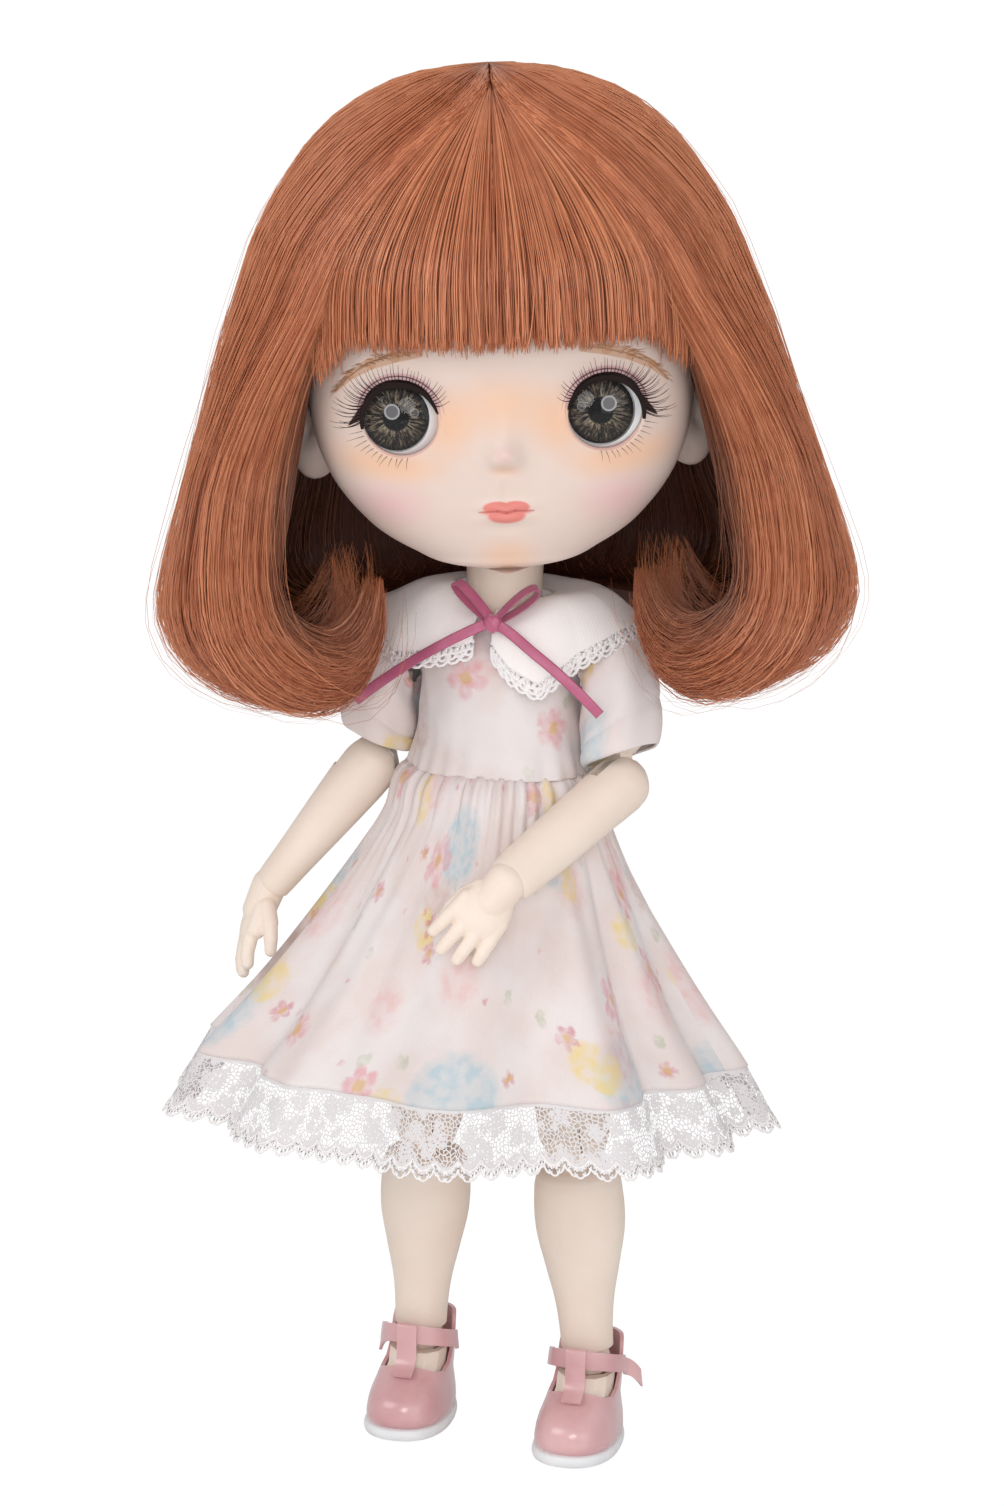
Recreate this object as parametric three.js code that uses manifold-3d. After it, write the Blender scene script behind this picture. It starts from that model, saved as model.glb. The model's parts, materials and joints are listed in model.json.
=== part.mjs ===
// Jointed fashion doll, about 30 cm tall, with removable wig, dress and shoes.
// Millimetres, +Z up, the doll faces -Y and its left side is +X.
// The origin is on the ground under the middle of the doll's box.

import * as THREE from 'three';
import { mergeVertices } from 'three/addons/utils/BufferGeometryUtils.js';
import ManifoldModule from 'manifold-3d';

const manifold = await ManifoldModule();
manifold.setup();

// Clearances
const runGap = 0.3;
const clothGap = 0.4;
const weldReach = 0.0002;
const overrun = 40;

// Facets round each kind of piece
const ballSides = 12;
const ballRows = 7;
const limbSides = 12;
const smallSides = 10;
const smallRows = 6;

// Rest pose in degrees, as the doll stands
const waistBendRest = 0;
const waistTurnRest = 0;
const neckLeanRest = 0;
const headTurnRest = 17;
const headTiltRest = -3.5;
const armSwingRest = { left: 13, right: 4.5 };
const armRaiseRest = { left: 8, right: 6.5 };
const armTwistRest = { left: -42, right: -84 };
const elbowBendRest = { left: 56, right: 30 };
const wristTurnRest = { left: -14, right: 30 };
const wristBendRest = { left: 18, right: 8 };
const leftLegSwingRest = -2.6;
const legSpreadRest = { left: 4.4, right: 1.9 };

// Legs
const hipHalfSpacing = 14.5;
const hipSetBack = 2;
const hipBallRadius = 7;
const thighLength = 44;
const thighHalfWidth = 11.6;
const thighHalfDepth = 11.9;
const kneeHalfWidth = 8;
const kneeTongueHalfWidth = 3.1;
const kneeTongueRadius = 7.5;
const kneePinRadius = 1.5;
const shinLength = 51.5;
const calfHalfWidth = 9.7;
const calfHalfDepth = 9.7;
const ankleHalfWidth = 5.8;
const ankleBallRadius = 5.2;
const ankleHeight = 19;

// Shoes and feet
const soleHeight = 2.6;
const shoeHalfWidth = 9.1;
const toeReach = 20;
const heelReach = 11.2;
const shoeWall = 1;
const heelNotch = 0.9;
const heelNotchFront = 1;
const heelNotchBack = 5;
const counterHeight = 23.5;
const throatHeight = 14.2;
const throatBack = 1.5;
const strapWidth = 3.7;
const strapThickness = 0.9;
const strapTabLength = 6;
const barHalfWidth = 2.2;

// Pelvis and trunk
const pelvisHalfWidth = 23;
const pelvisHalfDepth = 12.5;
const waistRise = 13;
const waistBallRadius = 10;
const waistSlot = 5;
const chestHalfWidth = 15.5;
const chestHalfDepth = 11.5;
const shoulderRise = 48;
const shoulderHalfSpacing = 25;
const shoulderStubRadius = 3.4;
const neckRise = 54;
const neckBallRadius = 8.4;
const neckRadius = 8.1;
const neckLength = 20;
const neckKnobRadius = 7.9;
const neckCut = 2.4;

// Dress
const bodiceWall = 1.2;
const bodiceHalfWidth = 19.5;
const bodiceHalfDepth = 16;
const seamRise = 24;
const neckline = 57.5;
const armholeRadius = 4.4;
const skirtLength = 63;
const skirtHalfWidth = 56;
const skirtHalfDepth = 49;
const skirtWaistHalfWidth = 20.4;
const skirtWaistHalfDepth = 16.5;
const skirtLean = -5;
const skirtWall = 1.1;
const foldCount = 12;
const foldDepth = 2.6;
const gatherCount = 20;
const gatherDepth = 0.7;
const laceHeight = 12;
const laceWall = 0.8;
const laceSwing = 1.4;
const scallopDepth = 1.5;
const scallopCount = 20;
const collarNeckRadius = 10.4;
const collarLift = 1.3;
const collarRise = neckline + collarLift;
const collarReach = 19;
const collarDrop = 17;
const collarThickness = 0.8;
const ribbonWidth = 3;
const ribbonThickness = 0.5;
const bowSide = 2.6;
const bowFront = 16.8;
const bowRise = 55.4;
const bowLoopLength = 12.5;
const bowLoopGap = 1.5;
const bowKnotHalf = 2;
const tailLength = 31;
const tailLift = 2.3;

// Arms
const shoulderBallRadius = 5.6;
const upperArmRadius = 5.8;
const upperArmLength = 25.4;
const upperArmTop = 4.5;
const twistCut = 14;
const elbowRadius = 5.9;
const elbowTongueHalfWidth = 2.2;
const elbowDiscRadius = 5.3;
const elbowNeckRadius = 3;
const foreArmLength = 37;
const wristRadius = 4.1;
const wristBallRadius = 3.6;
const wristStubRadius = 2.4;
const wristGap = 0.8;
const wristSink = 0.9;
const sleeveCapRadius = 8.3;
const sleeveRadius = 9.4;
const sleeveLength = 20.5;
const sleeveWall = 0.9;
const palmLength = 9;
const palmHalfWidth = 4.9;
const palmHalfThickness = 2;
const fingerRadius = 1.45;
const fingerLength = 9.4;
const thumbLength = 8;

// Head
const headHalfWidth = 42;
const headFront = 44;
const headBack = 43.5;
const crownRise = 61;
const chinDrop = 30.7;
const headWall = 3.2;
const headSetBack = 1;
const faceRise = 28.5;
const eyeLift = 2.5;
const cavityFloor = 17;
const eyeHalfSpacing = 21;
const eyeFace = 40.6;
const eyeTurn = 10;
const eyeBallRadius = 11;
const eyeBallDepth = 10.6;
const eyeBackCut = 1.5;
const lidHalfWidth = 7.95;
const lidHalfHeight = 7.5;
const irisRadius = 6.7;
const irisFace = 8.3;
const irisThickness = 0.6;
const corneaBulge = 1.5;
const lashLength = 3;
const lashThickness = 0.4;
const lashCount = 9;
const noseDrop = 5.2;
const noseReach = 3;
const noseHalfWidth = 3.3;
const noseHalfHeight = 3.7;
const mouthDrop = 17;
const mouthHalfWidth = 5.6;
const lipReach = 1.1;
const lipHalfHeight = 1.5;
const socketDepth = 1.1;
const socketRadius = 9.5;
const earReach = 6.2;
const earHalfHeight = 10;
const earHalfDepth = 5.6;
const earDrop = 6;
const earSetBack = 4;
const earHollow = 1.6;
const capFrontRise = 36;
const capBackRise = 4;

// Wig
const capLining = 0.8;
const liningGap = 1.3;
const liningFrontRise = 32;
const liningBackDrop = 6;
const hairTop = 71;
const hairSideRoom = 31;
const hairBackRoom = 15;
const hairHalfWidth = headHalfWidth + hairSideRoom;
const hairBackReach = headBack + hairBackRoom;
const hairDrop = 60.5;
const partGap = 0.15;
const lockGapDegrees = 0.8;
const fringeDrop = 16.5;
const fringeRoomDegrees = 1;
const fringeRoomShares = { inside: 0.9, outside: 1.008 };
const fringeReach = 50.3;
const fringeThickness = 5.6;

// Materials
const paint = (color, roughness, metalness = 0) =>
  new THREE.MeshStandardMaterial({ color, roughness, metalness });
const skinTone = paint(0xf0e2d4, 0.55);
const jointTone = paint(0xe9d9ca, 0.5);
const eyeWhite = paint(0xe6e4e0, 0.25);
const irisTone = paint(0x3c342c, 0.35);
const eyeGlass = new THREE.MeshStandardMaterial({
  color: 0xf4f6f8, roughness: 0.05, metalness: 0, transparent: true, opacity: 0.3
});
const lashTone = paint(0x2a1b1a, 0.7);
const hairTone = paint(0xb86b48, 0.45);
const netTone = paint(0x6d4634, 0.85);
const clothTone = paint(0xf0dedd, 0.9);
const collarTone = paint(0xf3eeed, 0.9);
const laceTone = paint(0xeae6ea, 0.9);
const ribbonTone = paint(0xc06080, 0.4);
const shoeTone = paint(0xd7a2a8, 0.3, 0.1);
const soleTone = paint(0xf2eff0, 0.6);

// Small helpers
const turn = Math.PI * 2;
const quarter = Math.PI / 2;
const half = (size) => size / 2;
const radians = THREE.MathUtils.degToRad;
const lerp = THREE.MathUtils.lerp;
const clamp = THREE.MathUtils.clamp;
const smooth = THREE.MathUtils.smoothstep;
const at = (x, y, z) => new THREE.Vector3(x, y, z);
const sides = { left: 1, right: -1 };

// A row of a table, read between its entries
function readTable(table, place) {
  const last = table.length - 1;
  const spot = clamp(place, 0, 1) * last;
  const row = Math.min(Math.floor(spot), last - 1);
  const blend = spot - row;
  return table[row].map((value, column) => lerp(value, table[row + 1][column], blend));
}

// A skin of quads through rings of points. The two end rings are closed by strips that run
// between their two halves, unless the rings close on themselves.
function skin(rings, closed = false) {
  const count = rings[0].length;
  const points = rings.flat();
  const index = [];
  const bands = closed ? rings.length : rings.length - 1;
  for (let band = 0; band < bands; band += 1) {
    const low = band * count;
    const high = ((band + 1) % rings.length) * count;
    for (let side = 0; side < count; side += 1) {
      const next = (side + 1) % count;
      index.push(low + side, low + next, high + next);
      index.push(low + side, high + next, high + side);
    }
  }
  if (!closed) {
    for (const first of [0, points.length - count]) {
      let [low, high] = [first, first + count - 1];
      while (high - low > 1) {
        const faces = [[low, high, low + 1]];
        if (high - low > 2) faces.push([low + 1, high, high - 1]);
        for (const [a, b, c] of faces) index.push(...(first === 0 ? [a, b, c] : [a, c, b]));
        low += 1;
        high -= 1;
      }
    }
  }
  return outward(geometryFrom(points, index));
}

function geometryFrom(points, index) {
  const geometry = new THREE.BufferGeometry().setFromPoints(points);
  geometry.setIndex(index);
  return geometry;
}

// Six times the volume that the faces enclose, with a sign
function signedVolume(geometry) {
  const spots = geometry.attributes.position;
  const index = geometry.index.array;
  const [a, b, c] = [at(0, 0, 0), at(0, 0, 0), at(0, 0, 0)];
  let sum = 0;
  for (let corner = 0; corner < index.length; corner += 3) {
    a.fromBufferAttribute(spots, index[corner]);
    b.fromBufferAttribute(spots, index[corner + 1]);
    c.fromBufferAttribute(spots, index[corner + 2]);
    sum += a.dot(b.cross(c));
  }
  return sum;
}

// The same skin with its faces pointing out
function outward(geometry) {
  if (signedVolume(geometry) < 0) {
    const index = geometry.index.array;
    for (let corner = 0; corner < index.length; corner += 3) {
      [index[corner + 1], index[corner + 2]] = [index[corner + 2], index[corner + 1]];
    }
  }
  return geometry;
}

// A solid for joining and cutting
function solid(geometry) {
  const bare = geometry.clone();
  bare.deleteAttribute('normal');
  bare.deleteAttribute('uv');
  const merged = mergeVertices(bare, weldReach);
  const index = merged.index.array;
  const faces = [];
  for (let corner = 0; corner < index.length; corner += 3) {
    const [a, b, c] = [index[corner], index[corner + 1], index[corner + 2]];
    if (a !== b && b !== c && c !== a) faces.push(a, b, c);
  }
  return new manifold.Manifold(new manifold.Mesh({
    numProp: 3,
    vertProperties: Float32Array.from(merged.attributes.position.array),
    triVerts: Uint32Array.from(faces)
  }));
}

// The skin of a solid
function skinOf(shape) {
  const mesh = shape.getMesh();
  const geometry = new THREE.BufferGeometry();
  geometry.setAttribute('position', new THREE.BufferAttribute(mesh.vertProperties, 3));
  geometry.setIndex(new THREE.BufferAttribute(mesh.triVerts, 1));
  geometry.computeVertexNormals();
  return geometry;
}

function cut(base, ...cutters) {
  return cutters.reduce((shape, cutter) => shape.subtract(solid(cutter)), solid(base));
}

function sphere(radius, x = 0, y = 0, z = 0, across = ballSides, rows = ballRows) {
  return new THREE.SphereGeometry(radius, across, rows).rotateX(quarter).translate(x, y, z);
}

// A ball-shaped cutter whose flats, not its corners, stand at the radius
function seat(radius, x = 0, y = 0, z = 0, across = ballSides, rows = ballRows) {
  const outer = radius / Math.cos(Math.PI / across) / Math.cos(half(Math.PI / rows));
  return sphere(outer, x, y, z, across, rows);
}

// The same for a cylinder
function sleeveRod(axis, radius, length, x = 0, y = 0, z = 0, across = limbSides) {
  return rod(axis, radius / Math.cos(Math.PI / across), length, x, y, z, across);
}

function box(x0, x1, y0, y1, z0, z1) {
  return new THREE.BoxGeometry(x1 - x0, y1 - y0, z1 - z0)
    .translate(half(x0 + x1), half(y0 + y1), half(z0 + z1));
}

// A cylinder along X, Y or Z, centred on a place
function rod(axis, radius, length, x = 0, y = 0, z = 0, across = limbSides) {
  const geometry = new THREE.CylinderGeometry(radius, radius, length, across);
  if (axis === 'x') geometry.rotateZ(quarter);
  if (axis === 'z') geometry.rotateX(quarter);
  return geometry.translate(x, y, z);
}

// A revolve about Z through pairs of radius and height
function turned(profile, across = limbSides) {
  const outline = profile.map(([radius, height]) => new THREE.Vector2(radius, height));
  return outward(new THREE.LatheGeometry(outline, across).rotateX(quarter));
}

// A level ring, wide at its middle line, with its own reach to the front and to the back
function levelRing({ z, width, front, back, middle = 0, power = 2, across = limbSides }) {
  const ring = [];
  for (let side = 0; side < across; side += 1) {
    const angle = (side / across) * turn;
    const [c, s] = [Math.cos(angle), Math.sin(angle)];
    const x = Math.sign(c) * width * Math.abs(c) ** (2 / power);
    const reach = s < 0 ? middle + front : back - middle;
    const y = middle + Math.sign(s) * reach * Math.abs(s) ** (2 / power);
    ring.push(at(x, y, z));
  }
  return ring;
}

// A limb lofted from rows of height, half width, front and back shares
function limb(rows, length, width, depth, across = limbSides) {
  return skin(rows.map(([zShare, wShare, fShare, bShare]) => levelRing({
    z: -zShare * length, width: wShare * width, front: fShare * depth, back: bShare * depth, across
  })));
}

// A flat band along a path, facing the way given at each point
function band(path, facing, width, thickness) {
  const rings = path.map((point, step) => {
    const before = path[Math.max(step - 1, 0)];
    const after = path[Math.min(step + 1, path.length - 1)];
    const along = after.clone().sub(before).normalize();
    const out = facing[step].clone().addScaledVector(along, -facing[step].dot(along)).normalize();
    const across = along.clone().cross(out).normalize();
    const corner = (u, v) => point.clone()
      .addScaledVector(across, u * half(width)).addScaledVector(out, v * half(thickness));
    return [corner(-1, -1), corner(1, -1), corner(1, 1), corner(-1, 1)];
  });
  return skin(rings);
}

// A named piece on its parent
function piece(parent, name, shape, material) {
  const geometry = shape.isBufferGeometry ? skinOf(solid(shape)) : skinOf(shape);
  const mesh = new THREE.Mesh(geometry, material);
  mesh.name = name;
  parent.add(mesh);
  return mesh;
}

// A pivot on its parent, turned about one of its axes by its rest angle
function pivot(parent, name, place, axis, degrees) {
  const group = new THREE.Group();
  group.name = name;
  group.position.set(...place);
  group.rotation[axis] = radians(degrees);
  group.userData.axis = axis;
  parent.add(group);
  return group;
}

const doll = new THREE.Group();
doll.name = 'doll';

// Pelvis, the piece that everything hangs on
const legUprightShare = Math.cos(radians(leftLegSwingRest)) * Math.cos(radians(legSpreadRest.left));
const legHeight = legUprightShare * (thighLength + shinLength) + ankleHeight;
// The right leg swings back as far as brings its sole down to the same ground
const rightLegShare = legUprightShare / Math.cos(radians(legSpreadRest.right));
const legSwingRest = {
  left: leftLegSwingRest, right: -THREE.MathUtils.radToDeg(Math.acos(rightLegShare))
};
const pelvis = new THREE.Group();
pelvis.position.set(0, 0, legHeight);
doll.add(pelvis);

const rimWall = hipBallRadius * 0.5;
const hipSeat = hipBallRadius + runGap;
const hipRim = hipSeat + rimWall;
const hipSweep = thighHalfDepth + 5 * runGap;
const waistRim = waistRise - half(waistSlot);
const pelvisShares = [
  [-0.73, 0.3, 0.62, 0.66], [-0.3, 0.76, 0.9, 0.97], [0.2, 1, 1, 1], [0.5, 0.97, 0.97, 0.96],
  [1, 0.72, 0.89, 0.88]
];
const hipDome = Math.tan(radians(62));
function pelvisBlock() {
  const block = skin(pelvisShares.map(([zShare, wShare, fShare, bShare]) => levelRing({
    z: zShare * waistRim, width: wShare * pelvisHalfWidth, front: fShare * pelvisHalfDepth,
    back: bShare * pelvisHalfDepth, power: 2.3, across: 16
  })));
  let shape = cut(block, seat(waistBallRadius + runGap, 0, 0, waistRise));
  for (const side of Object.values(sides)) {
    const hip = [side * hipHalfSpacing, hipSetBack, 0];
    const cone = turned([[0, 0], [hipDome * overrun, overrun], [0, overrun]], smallSides).translate(...hip);
    const groove = solid(seat(hipRim, ...hip, smallSides, smallRows)).subtract(solid(cone));
    const below = solid(seat(hipSweep + runGap, ...hip, smallSides, smallRows))
      .intersect(solid(box(-overrun, overrun, -overrun, overrun, -overrun, runGap)));
    shape = shape.subtract(solid(seat(hipSeat, ...hip))).subtract(groove).subtract(below);
  }
  return shape;
}
piece(pelvis, 'pelvis', pelvisBlock(), skinTone);

// Waist ball and trunk
const waistBend = pivot(pelvis, 'waist_bend', [0, 0, waistRise], 'x', waistBendRest);
piece(waistBend, 'waist_ball', sphere(waistBallRadius), jointTone);
const trunk = pivot(waistBend, 'waist_turn', [0, 0, 0], 'z', waistTurnRest);

const chestShares = [
  [0, 1.02, 0.92, 0.92], [0.15, 0.97, 0.9, 0.9], [0.45, 0.86, 0.9, 0.92], [0.68, 0.8, 1, 0.95],
  [0.84, 0.82, 0.96, 0.93], [0.93, 0.8, 0.84, 0.86], [1, 0.63, 0.75, 0.76]
];
const chestBottom = half(waistSlot);
const chestTop = neckRise - runGap;
function chestBlock() {
  const block = skin(chestShares.map(([zShare, wShare, fShare, bShare]) => levelRing({
    z: lerp(chestBottom, chestTop, zShare), width: wShare * chestHalfWidth,
    front: fShare * chestHalfDepth, back: bShare * chestHalfDepth, power: 2.3, across: 16
  })));
  const stub = rod('x', shoulderStubRadius, 2 * shoulderHalfSpacing, 0, 0, shoulderRise, smallSides);
  let shape = solid(block).add(solid(stub));
  for (const side of Object.values(sides)) {
    const ball = seat(shoulderBallRadius + runGap, side * shoulderHalfSpacing, 0, shoulderRise);
    shape = shape.subtract(solid(ball));
    const stray = box(0, overrun, -overrun, overrun, 0, overrun + shoulderRise);
    if (side < 0) stray.translate(-shoulderHalfSpacing - overrun, 0, 0);
    else stray.translate(shoulderHalfSpacing, 0, 0);
    shape = shape.subtract(solid(stray));
  }
  return shape
    .subtract(solid(seat(waistBallRadius + runGap)))
    .subtract(solid(seat(neckBallRadius + runGap, 0, 0, neckRise)));
}
piece(trunk, 'chest', chestBlock(), skinTone);

// Bodice, a shell with small armholes that the sleeves cover
const bodiceShares = [
  [0, 1, 1, 1], [0.1, 0.91, 0.97, 0.96], [0.22, 0.83, 0.94, 0.93], [0.4, 0.77, 0.92, 0.9],
  [0.63, 0.77, 0.89, 0.87], [0.83, 0.785, 0.8, 0.8], [0.93, 0.72, 0.72, 0.74], [1, 0.6, 0.65, 0.66]
];
function bodiceSkin(inset, stretch) {
  return skin(bodiceShares.map(([zShare, wShare, fShare, bShare], row) => {
    let z = lerp(seamRise, neckline, zShare);
    if (row === 0) z -= stretch;
    if (row === bodiceShares.length - 1) z += stretch;
    return levelRing({
      z, width: wShare * bodiceHalfWidth - inset, front: fShare * bodiceHalfDepth - inset,
      back: bShare * bodiceHalfDepth - inset, power: 2.2, across: 16
    });
  }));
}
const armhole = rod('x', armholeRadius, 2 * shoulderHalfSpacing, 0, 0, shoulderRise, smallSides);
piece(trunk, 'bodice', cut(bodiceSkin(0, 0), bodiceSkin(bodiceWall, runGap), armhole), clothTone);

// Skirt and lace, closed rings of cloth that share one set of folds
const skirtShares = [
  [0, 0], [0.1, 0.06], [0.3, 0.23], [0.55, 0.47], [0.8, 0.74], [1, 1]
];
const clothColumns = 48;
function clothPoint(angle, drop, inset) {
  const level = clamp(drop / skirtLength, 0, 1);
  const at0 = skirtShares.findIndex(([zShare]) => zShare >= level);
  const row = Math.max(at0, 1);
  const [zA, outA] = skirtShares[row - 1];
  const [zB, outB] = skirtShares[row];
  const out = lerp(outA, outB, (level - zA) / (zB - zA));
  const past = Math.max(drop - skirtLength, 0);
  const slope = (skirtHalfWidth - skirtWaistHalfWidth) / skirtLength;
  const fold = foldDepth * smooth(level, 0.1, 1)
    * (Math.sin(foldCount * angle + 2 * Math.sin(2 * angle)) + half(Math.sin(7 * angle + 1)));
  const gather = gatherDepth * (1 - smooth(level, 0, 0.6)) * Math.sin(gatherCount * angle);
  const push = fold + gather - inset + past * slope * 0.45;
  const x = lerp(skirtWaistHalfWidth, skirtHalfWidth, out) + push;
  const y = lerp(skirtWaistHalfDepth, skirtHalfDepth, out) + push;
  const lean = skirtLean * out;
  return at(lean + x * Math.cos(angle), y * Math.sin(angle), seamRise - clothGap - drop);
}
function clothRing(levels, wall, hem) {
  const sections = [];
  for (let column = 0; column < clothColumns; column += 1) {
    const angle = (column / clothColumns) * turn;
    const drops = levels.map((drop, row) => (row === levels.length - 1 ? drop + hem(angle) : drop));
    const outer = drops.map((drop) => clothPoint(angle, drop, 0));
    const inner = drops.map((drop) => clothPoint(angle, drop, wall)).reverse();
    sections.push([...outer, ...inner]);
  }
  return skin(sections, true);
}
const skirtLevels = skirtShares.map(([zShare]) => zShare * skirtLength);
piece(trunk, 'skirt', clothRing(skirtLevels, skirtWall, () => 0), clothTone);
const laceTop = skirtLength + runGap;
const laceLevels = [laceTop, laceTop + laceHeight];
const scallop = (angle) => -scallopDepth * Math.abs(Math.sin(half(scallopCount) * angle));
piece(trunk, 'lace_hem', clothRing(laceLevels, laceWall, scallop), laceTone);

// Collar, two pointed halves that fall from the neck over the shoulders
const collarShares = {
  left: [
    [0.04, 0.25, 0.42], [0.12, 0.38, 0.78], [0.21, 0.53, 1], [0.33, 0.66, 0.52], [0.44, 0.9, 0.19],
    [0.53, 1, 0.1], [0.64, 0.86, 0.2], [0.78, 0.7, 0.38], [0.96, 0.62, 0.46]
  ],
  right: [
    [0.04, 0.25, 0.42], [0.13, 0.4, 0.74], [0.24, 0.58, 0.86], [0.35, 0.62, 0.48], [0.45, 0.9, 0.18],
    [0.53, 1, 0.1], [0.64, 0.86, 0.2], [0.78, 0.7, 0.38], [0.96, 0.62, 0.46]
  ]
};
const collarColumns = 10;
const collarRows = 4;
function collarHalf(name) {
  const side = sides[name];
  const sections = [];
  for (let column = 0; column <= collarColumns; column += 1) {
    const [turnShare, reachShare, dropShare] = readTable(collarShares[name], column / collarColumns);
    const angle = turnShare * Math.PI;
    const way = at(side * Math.sin(angle), -Math.cos(angle), 0);
    const neck = way.clone().multiplyScalar(collarNeckRadius).setZ(collarRise);
    const edge = way.clone().multiplyScalar(collarNeckRadius + reachShare * collarReach)
      .setZ(collarRise - dropShare * collarDrop);
    const knee = edge.clone().setZ(lerp(neck.z, edge.z, 0.05));
    const drape = new THREE.QuadraticBezierCurve3(neck, knee, edge);
    const top = drape.getPoints(collarRows - 1);
    const under = top.map((point, row) => {
      const fall = drape.getTangent(row / (collarRows - 1));
      const out = at(way.x, way.y, 0).multiplyScalar(-fall.z).setZ(fall.dot(way)).normalize();
      return point.clone().addScaledVector(out, -collarThickness);
    });
    sections.push([...top, ...under.reverse()]);
  }
  return skin(sections);
}
piece(trunk, 'collar_left', collarHalf('left'), collarTone);
piece(trunk, 'collar_right', collarHalf('right'), collarTone);

// Ribbon bow at the throat, a knot with two standing loops and two hanging tails
const bowPlace = at(bowSide, -bowFront, bowRise);
const ahead = at(0, -1, 0);
function bowLoop(side) {
  const along = at(side * 0.74, 0.2, 0.64).normalize();
  const across = ahead.clone().addScaledVector(along, -ahead.dot(along)).normalize();
  const path = [];
  for (let step = 0; step < smallSides; step += 1) {
    const angle = (step / smallSides) * turn;
    const reach = half(bowLoopLength) * (1 - Math.cos(angle));
    const bulge = bowLoopGap * Math.sin(angle) * (1 - half(Math.cos(angle)));
    path.push([reach, bulge]);
  }
  const lift = across.clone().cross(along).normalize();
  const corner = ([reach, bulge], wide, deep) => {
    const swell = bulge === 0 ? 0 : Math.sign(bulge) * deep * half(ribbonThickness);
    return bowPlace.clone().addScaledVector(along, reach + deep * half(ribbonThickness) * (reach > half(bowLoopLength) ? 1 : 0))
      .addScaledVector(across, bulge + swell).addScaledVector(lift, wide * half(ribbonWidth));
  };
  const rings = path.map((spot) => [
    corner(spot, -1, -1), corner(spot, 1, -1), corner(spot, 1, 1), corner(spot, -1, 1)
  ]);
  return skin(rings, true);
}
function bow() {
  const knot = sphere(bowKnotHalf, 0, 0, 0, smallSides, smallRows).scale(1, 0.85, 1.05)
    .translate(bowPlace.x, bowPlace.y, bowPlace.z);
  return solid(knot).add(solid(bowLoop(1))).add(solid(bowLoop(-1)));
}
piece(trunk, 'ribbon_bow', bow(), ribbonTone);

const tailSteps = 9;
function ribbonTail(side) {
  const start = bowPlace.clone().add(at(side * (bowKnotHalf + runGap), 0, -half(bowKnotHalf)));
  const reach = side > 0 ? 0.74 : 0.88;
  const path = [];
  const facing = [];
  for (let step = 0; step <= tailSteps; step += 1) {
    const share = step / tailSteps;
    const across = side * tailLength * reach * share;
    const drop = tailLength * (0.34 * share + 0.16 * share * share);
    path.push(start.clone().add(at(across, -tailLift * smooth(share, 0, 0.4), -drop)));
    facing.push(at(side * 0.12 * share, -1, 0.1));
  }
  return band(path, facing, ribbonWidth, ribbonThickness);
}
piece(trunk, 'ribbon_tail_left', ribbonTail(1), ribbonTone);
piece(trunk, 'ribbon_tail_right', ribbonTail(-1), ribbonTone);

// Neck and the knob that the head turns on
const neckLean = pivot(trunk, 'neck_lean', [0, 0, neckRise], 'x', neckLeanRest);
const neckTop = neckLength - neckCut;
function neckProfile() {
  const rows = [[0, -neckBallRadius]];
  for (let step = 1; step <= 4; step += 1) {
    const angle = (step / 4) * quarter;
    rows.push([neckBallRadius * Math.sin(angle), -neckBallRadius * Math.cos(angle)]);
  }
  rows.push([neckRadius, half(neckRadius)], [neckRadius, neckTop - runGap], [0, neckTop - runGap]);
  return rows;
}
piece(neckLean, 'neck', turned(neckProfile()), skinTone);
const headTurn = pivot(neckLean, 'head_turn', [0, 0, neckLength], 'z', headTurnRest);
function knobProfile() {
  const low = Math.asin(neckCut / neckKnobRadius);
  const rows = [[0, -neckCut]];
  for (let step = 0; step <= 4; step += 1) {
    const angle = lerp(-low, quarter, step / 4);
    rows.push([neckKnobRadius * Math.cos(angle), neckKnobRadius * Math.sin(angle)]);
  }
  rows.at(-1)[0] = 0;
  return rows;
}
piece(headTurn, 'neck_knob', turned(knobProfile()), jointTone);
const headTilt = pivot(headTurn, 'head_tilt', [0, 0, 0], 'y', headTiltRest);

// Head, with heights counted from the middle of the face
const head = new THREE.Group();
head.position.set(0, headSetBack, faceRise);
headTilt.add(head);

const lowShares = [
  [-1, 0.14, 0.7, -0.5, 2.2], [-0.964, 0.33, 0.795, -0.28, 2.3], [-0.88, 0.49, 0.852, 0.05, 2.4],
  [-0.78, 0.61, 0.89, 0.3, 2.5], [-0.65, 0.705, 0.927, 0.5, 2.6], [-0.456, 0.814, 0.955, 0.69, 2.8],
  [-0.26, 0.89, 0.97, 0.816, 2.9], [0, 0.948, 0.982, 0.908, 2.9]
];
const highShares = [
  [0, 0.948, 0.982, 0.908, 2.9], [0.15, 0.986, 0.995, 0.966, 2.6], [0.31, 1, 1, 1, 2.3],
  [0.49, 0.97, 0.966, 0.977, 2.2], [0.66, 0.85, 0.83, 0.85, 2.1], [0.79, 0.7, 0.66, 0.69, 2],
  [0.9, 0.49, 0.44, 0.48, 2], [0.965, 0.29, 0.24, 0.29, 2], [1, 0.07, 0.02, 0.09, 2]
];
// Head outline at a height, read from the tables
function headOutline(z) {
  const table = z < 0 ? lowShares : highShares;
  const level = z < 0 ? z / chinDrop : z / crownRise;
  let row = table.findIndex(([zShare]) => zShare >= level - 1e-9);
  row = Math.max(row, 1);
  const [lower, upper] = [table[row - 1], table[row]];
  const blend = (level - lower[0]) / (upper[0] - lower[0]);
  const [, wShare, fShare, bShare, power] = lower.map((value, n) => lerp(value, upper[n], blend));
  return {
    width: wShare * headHalfWidth, front: fShare * headFront, back: bShare * headBack, power
  };
}
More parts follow.
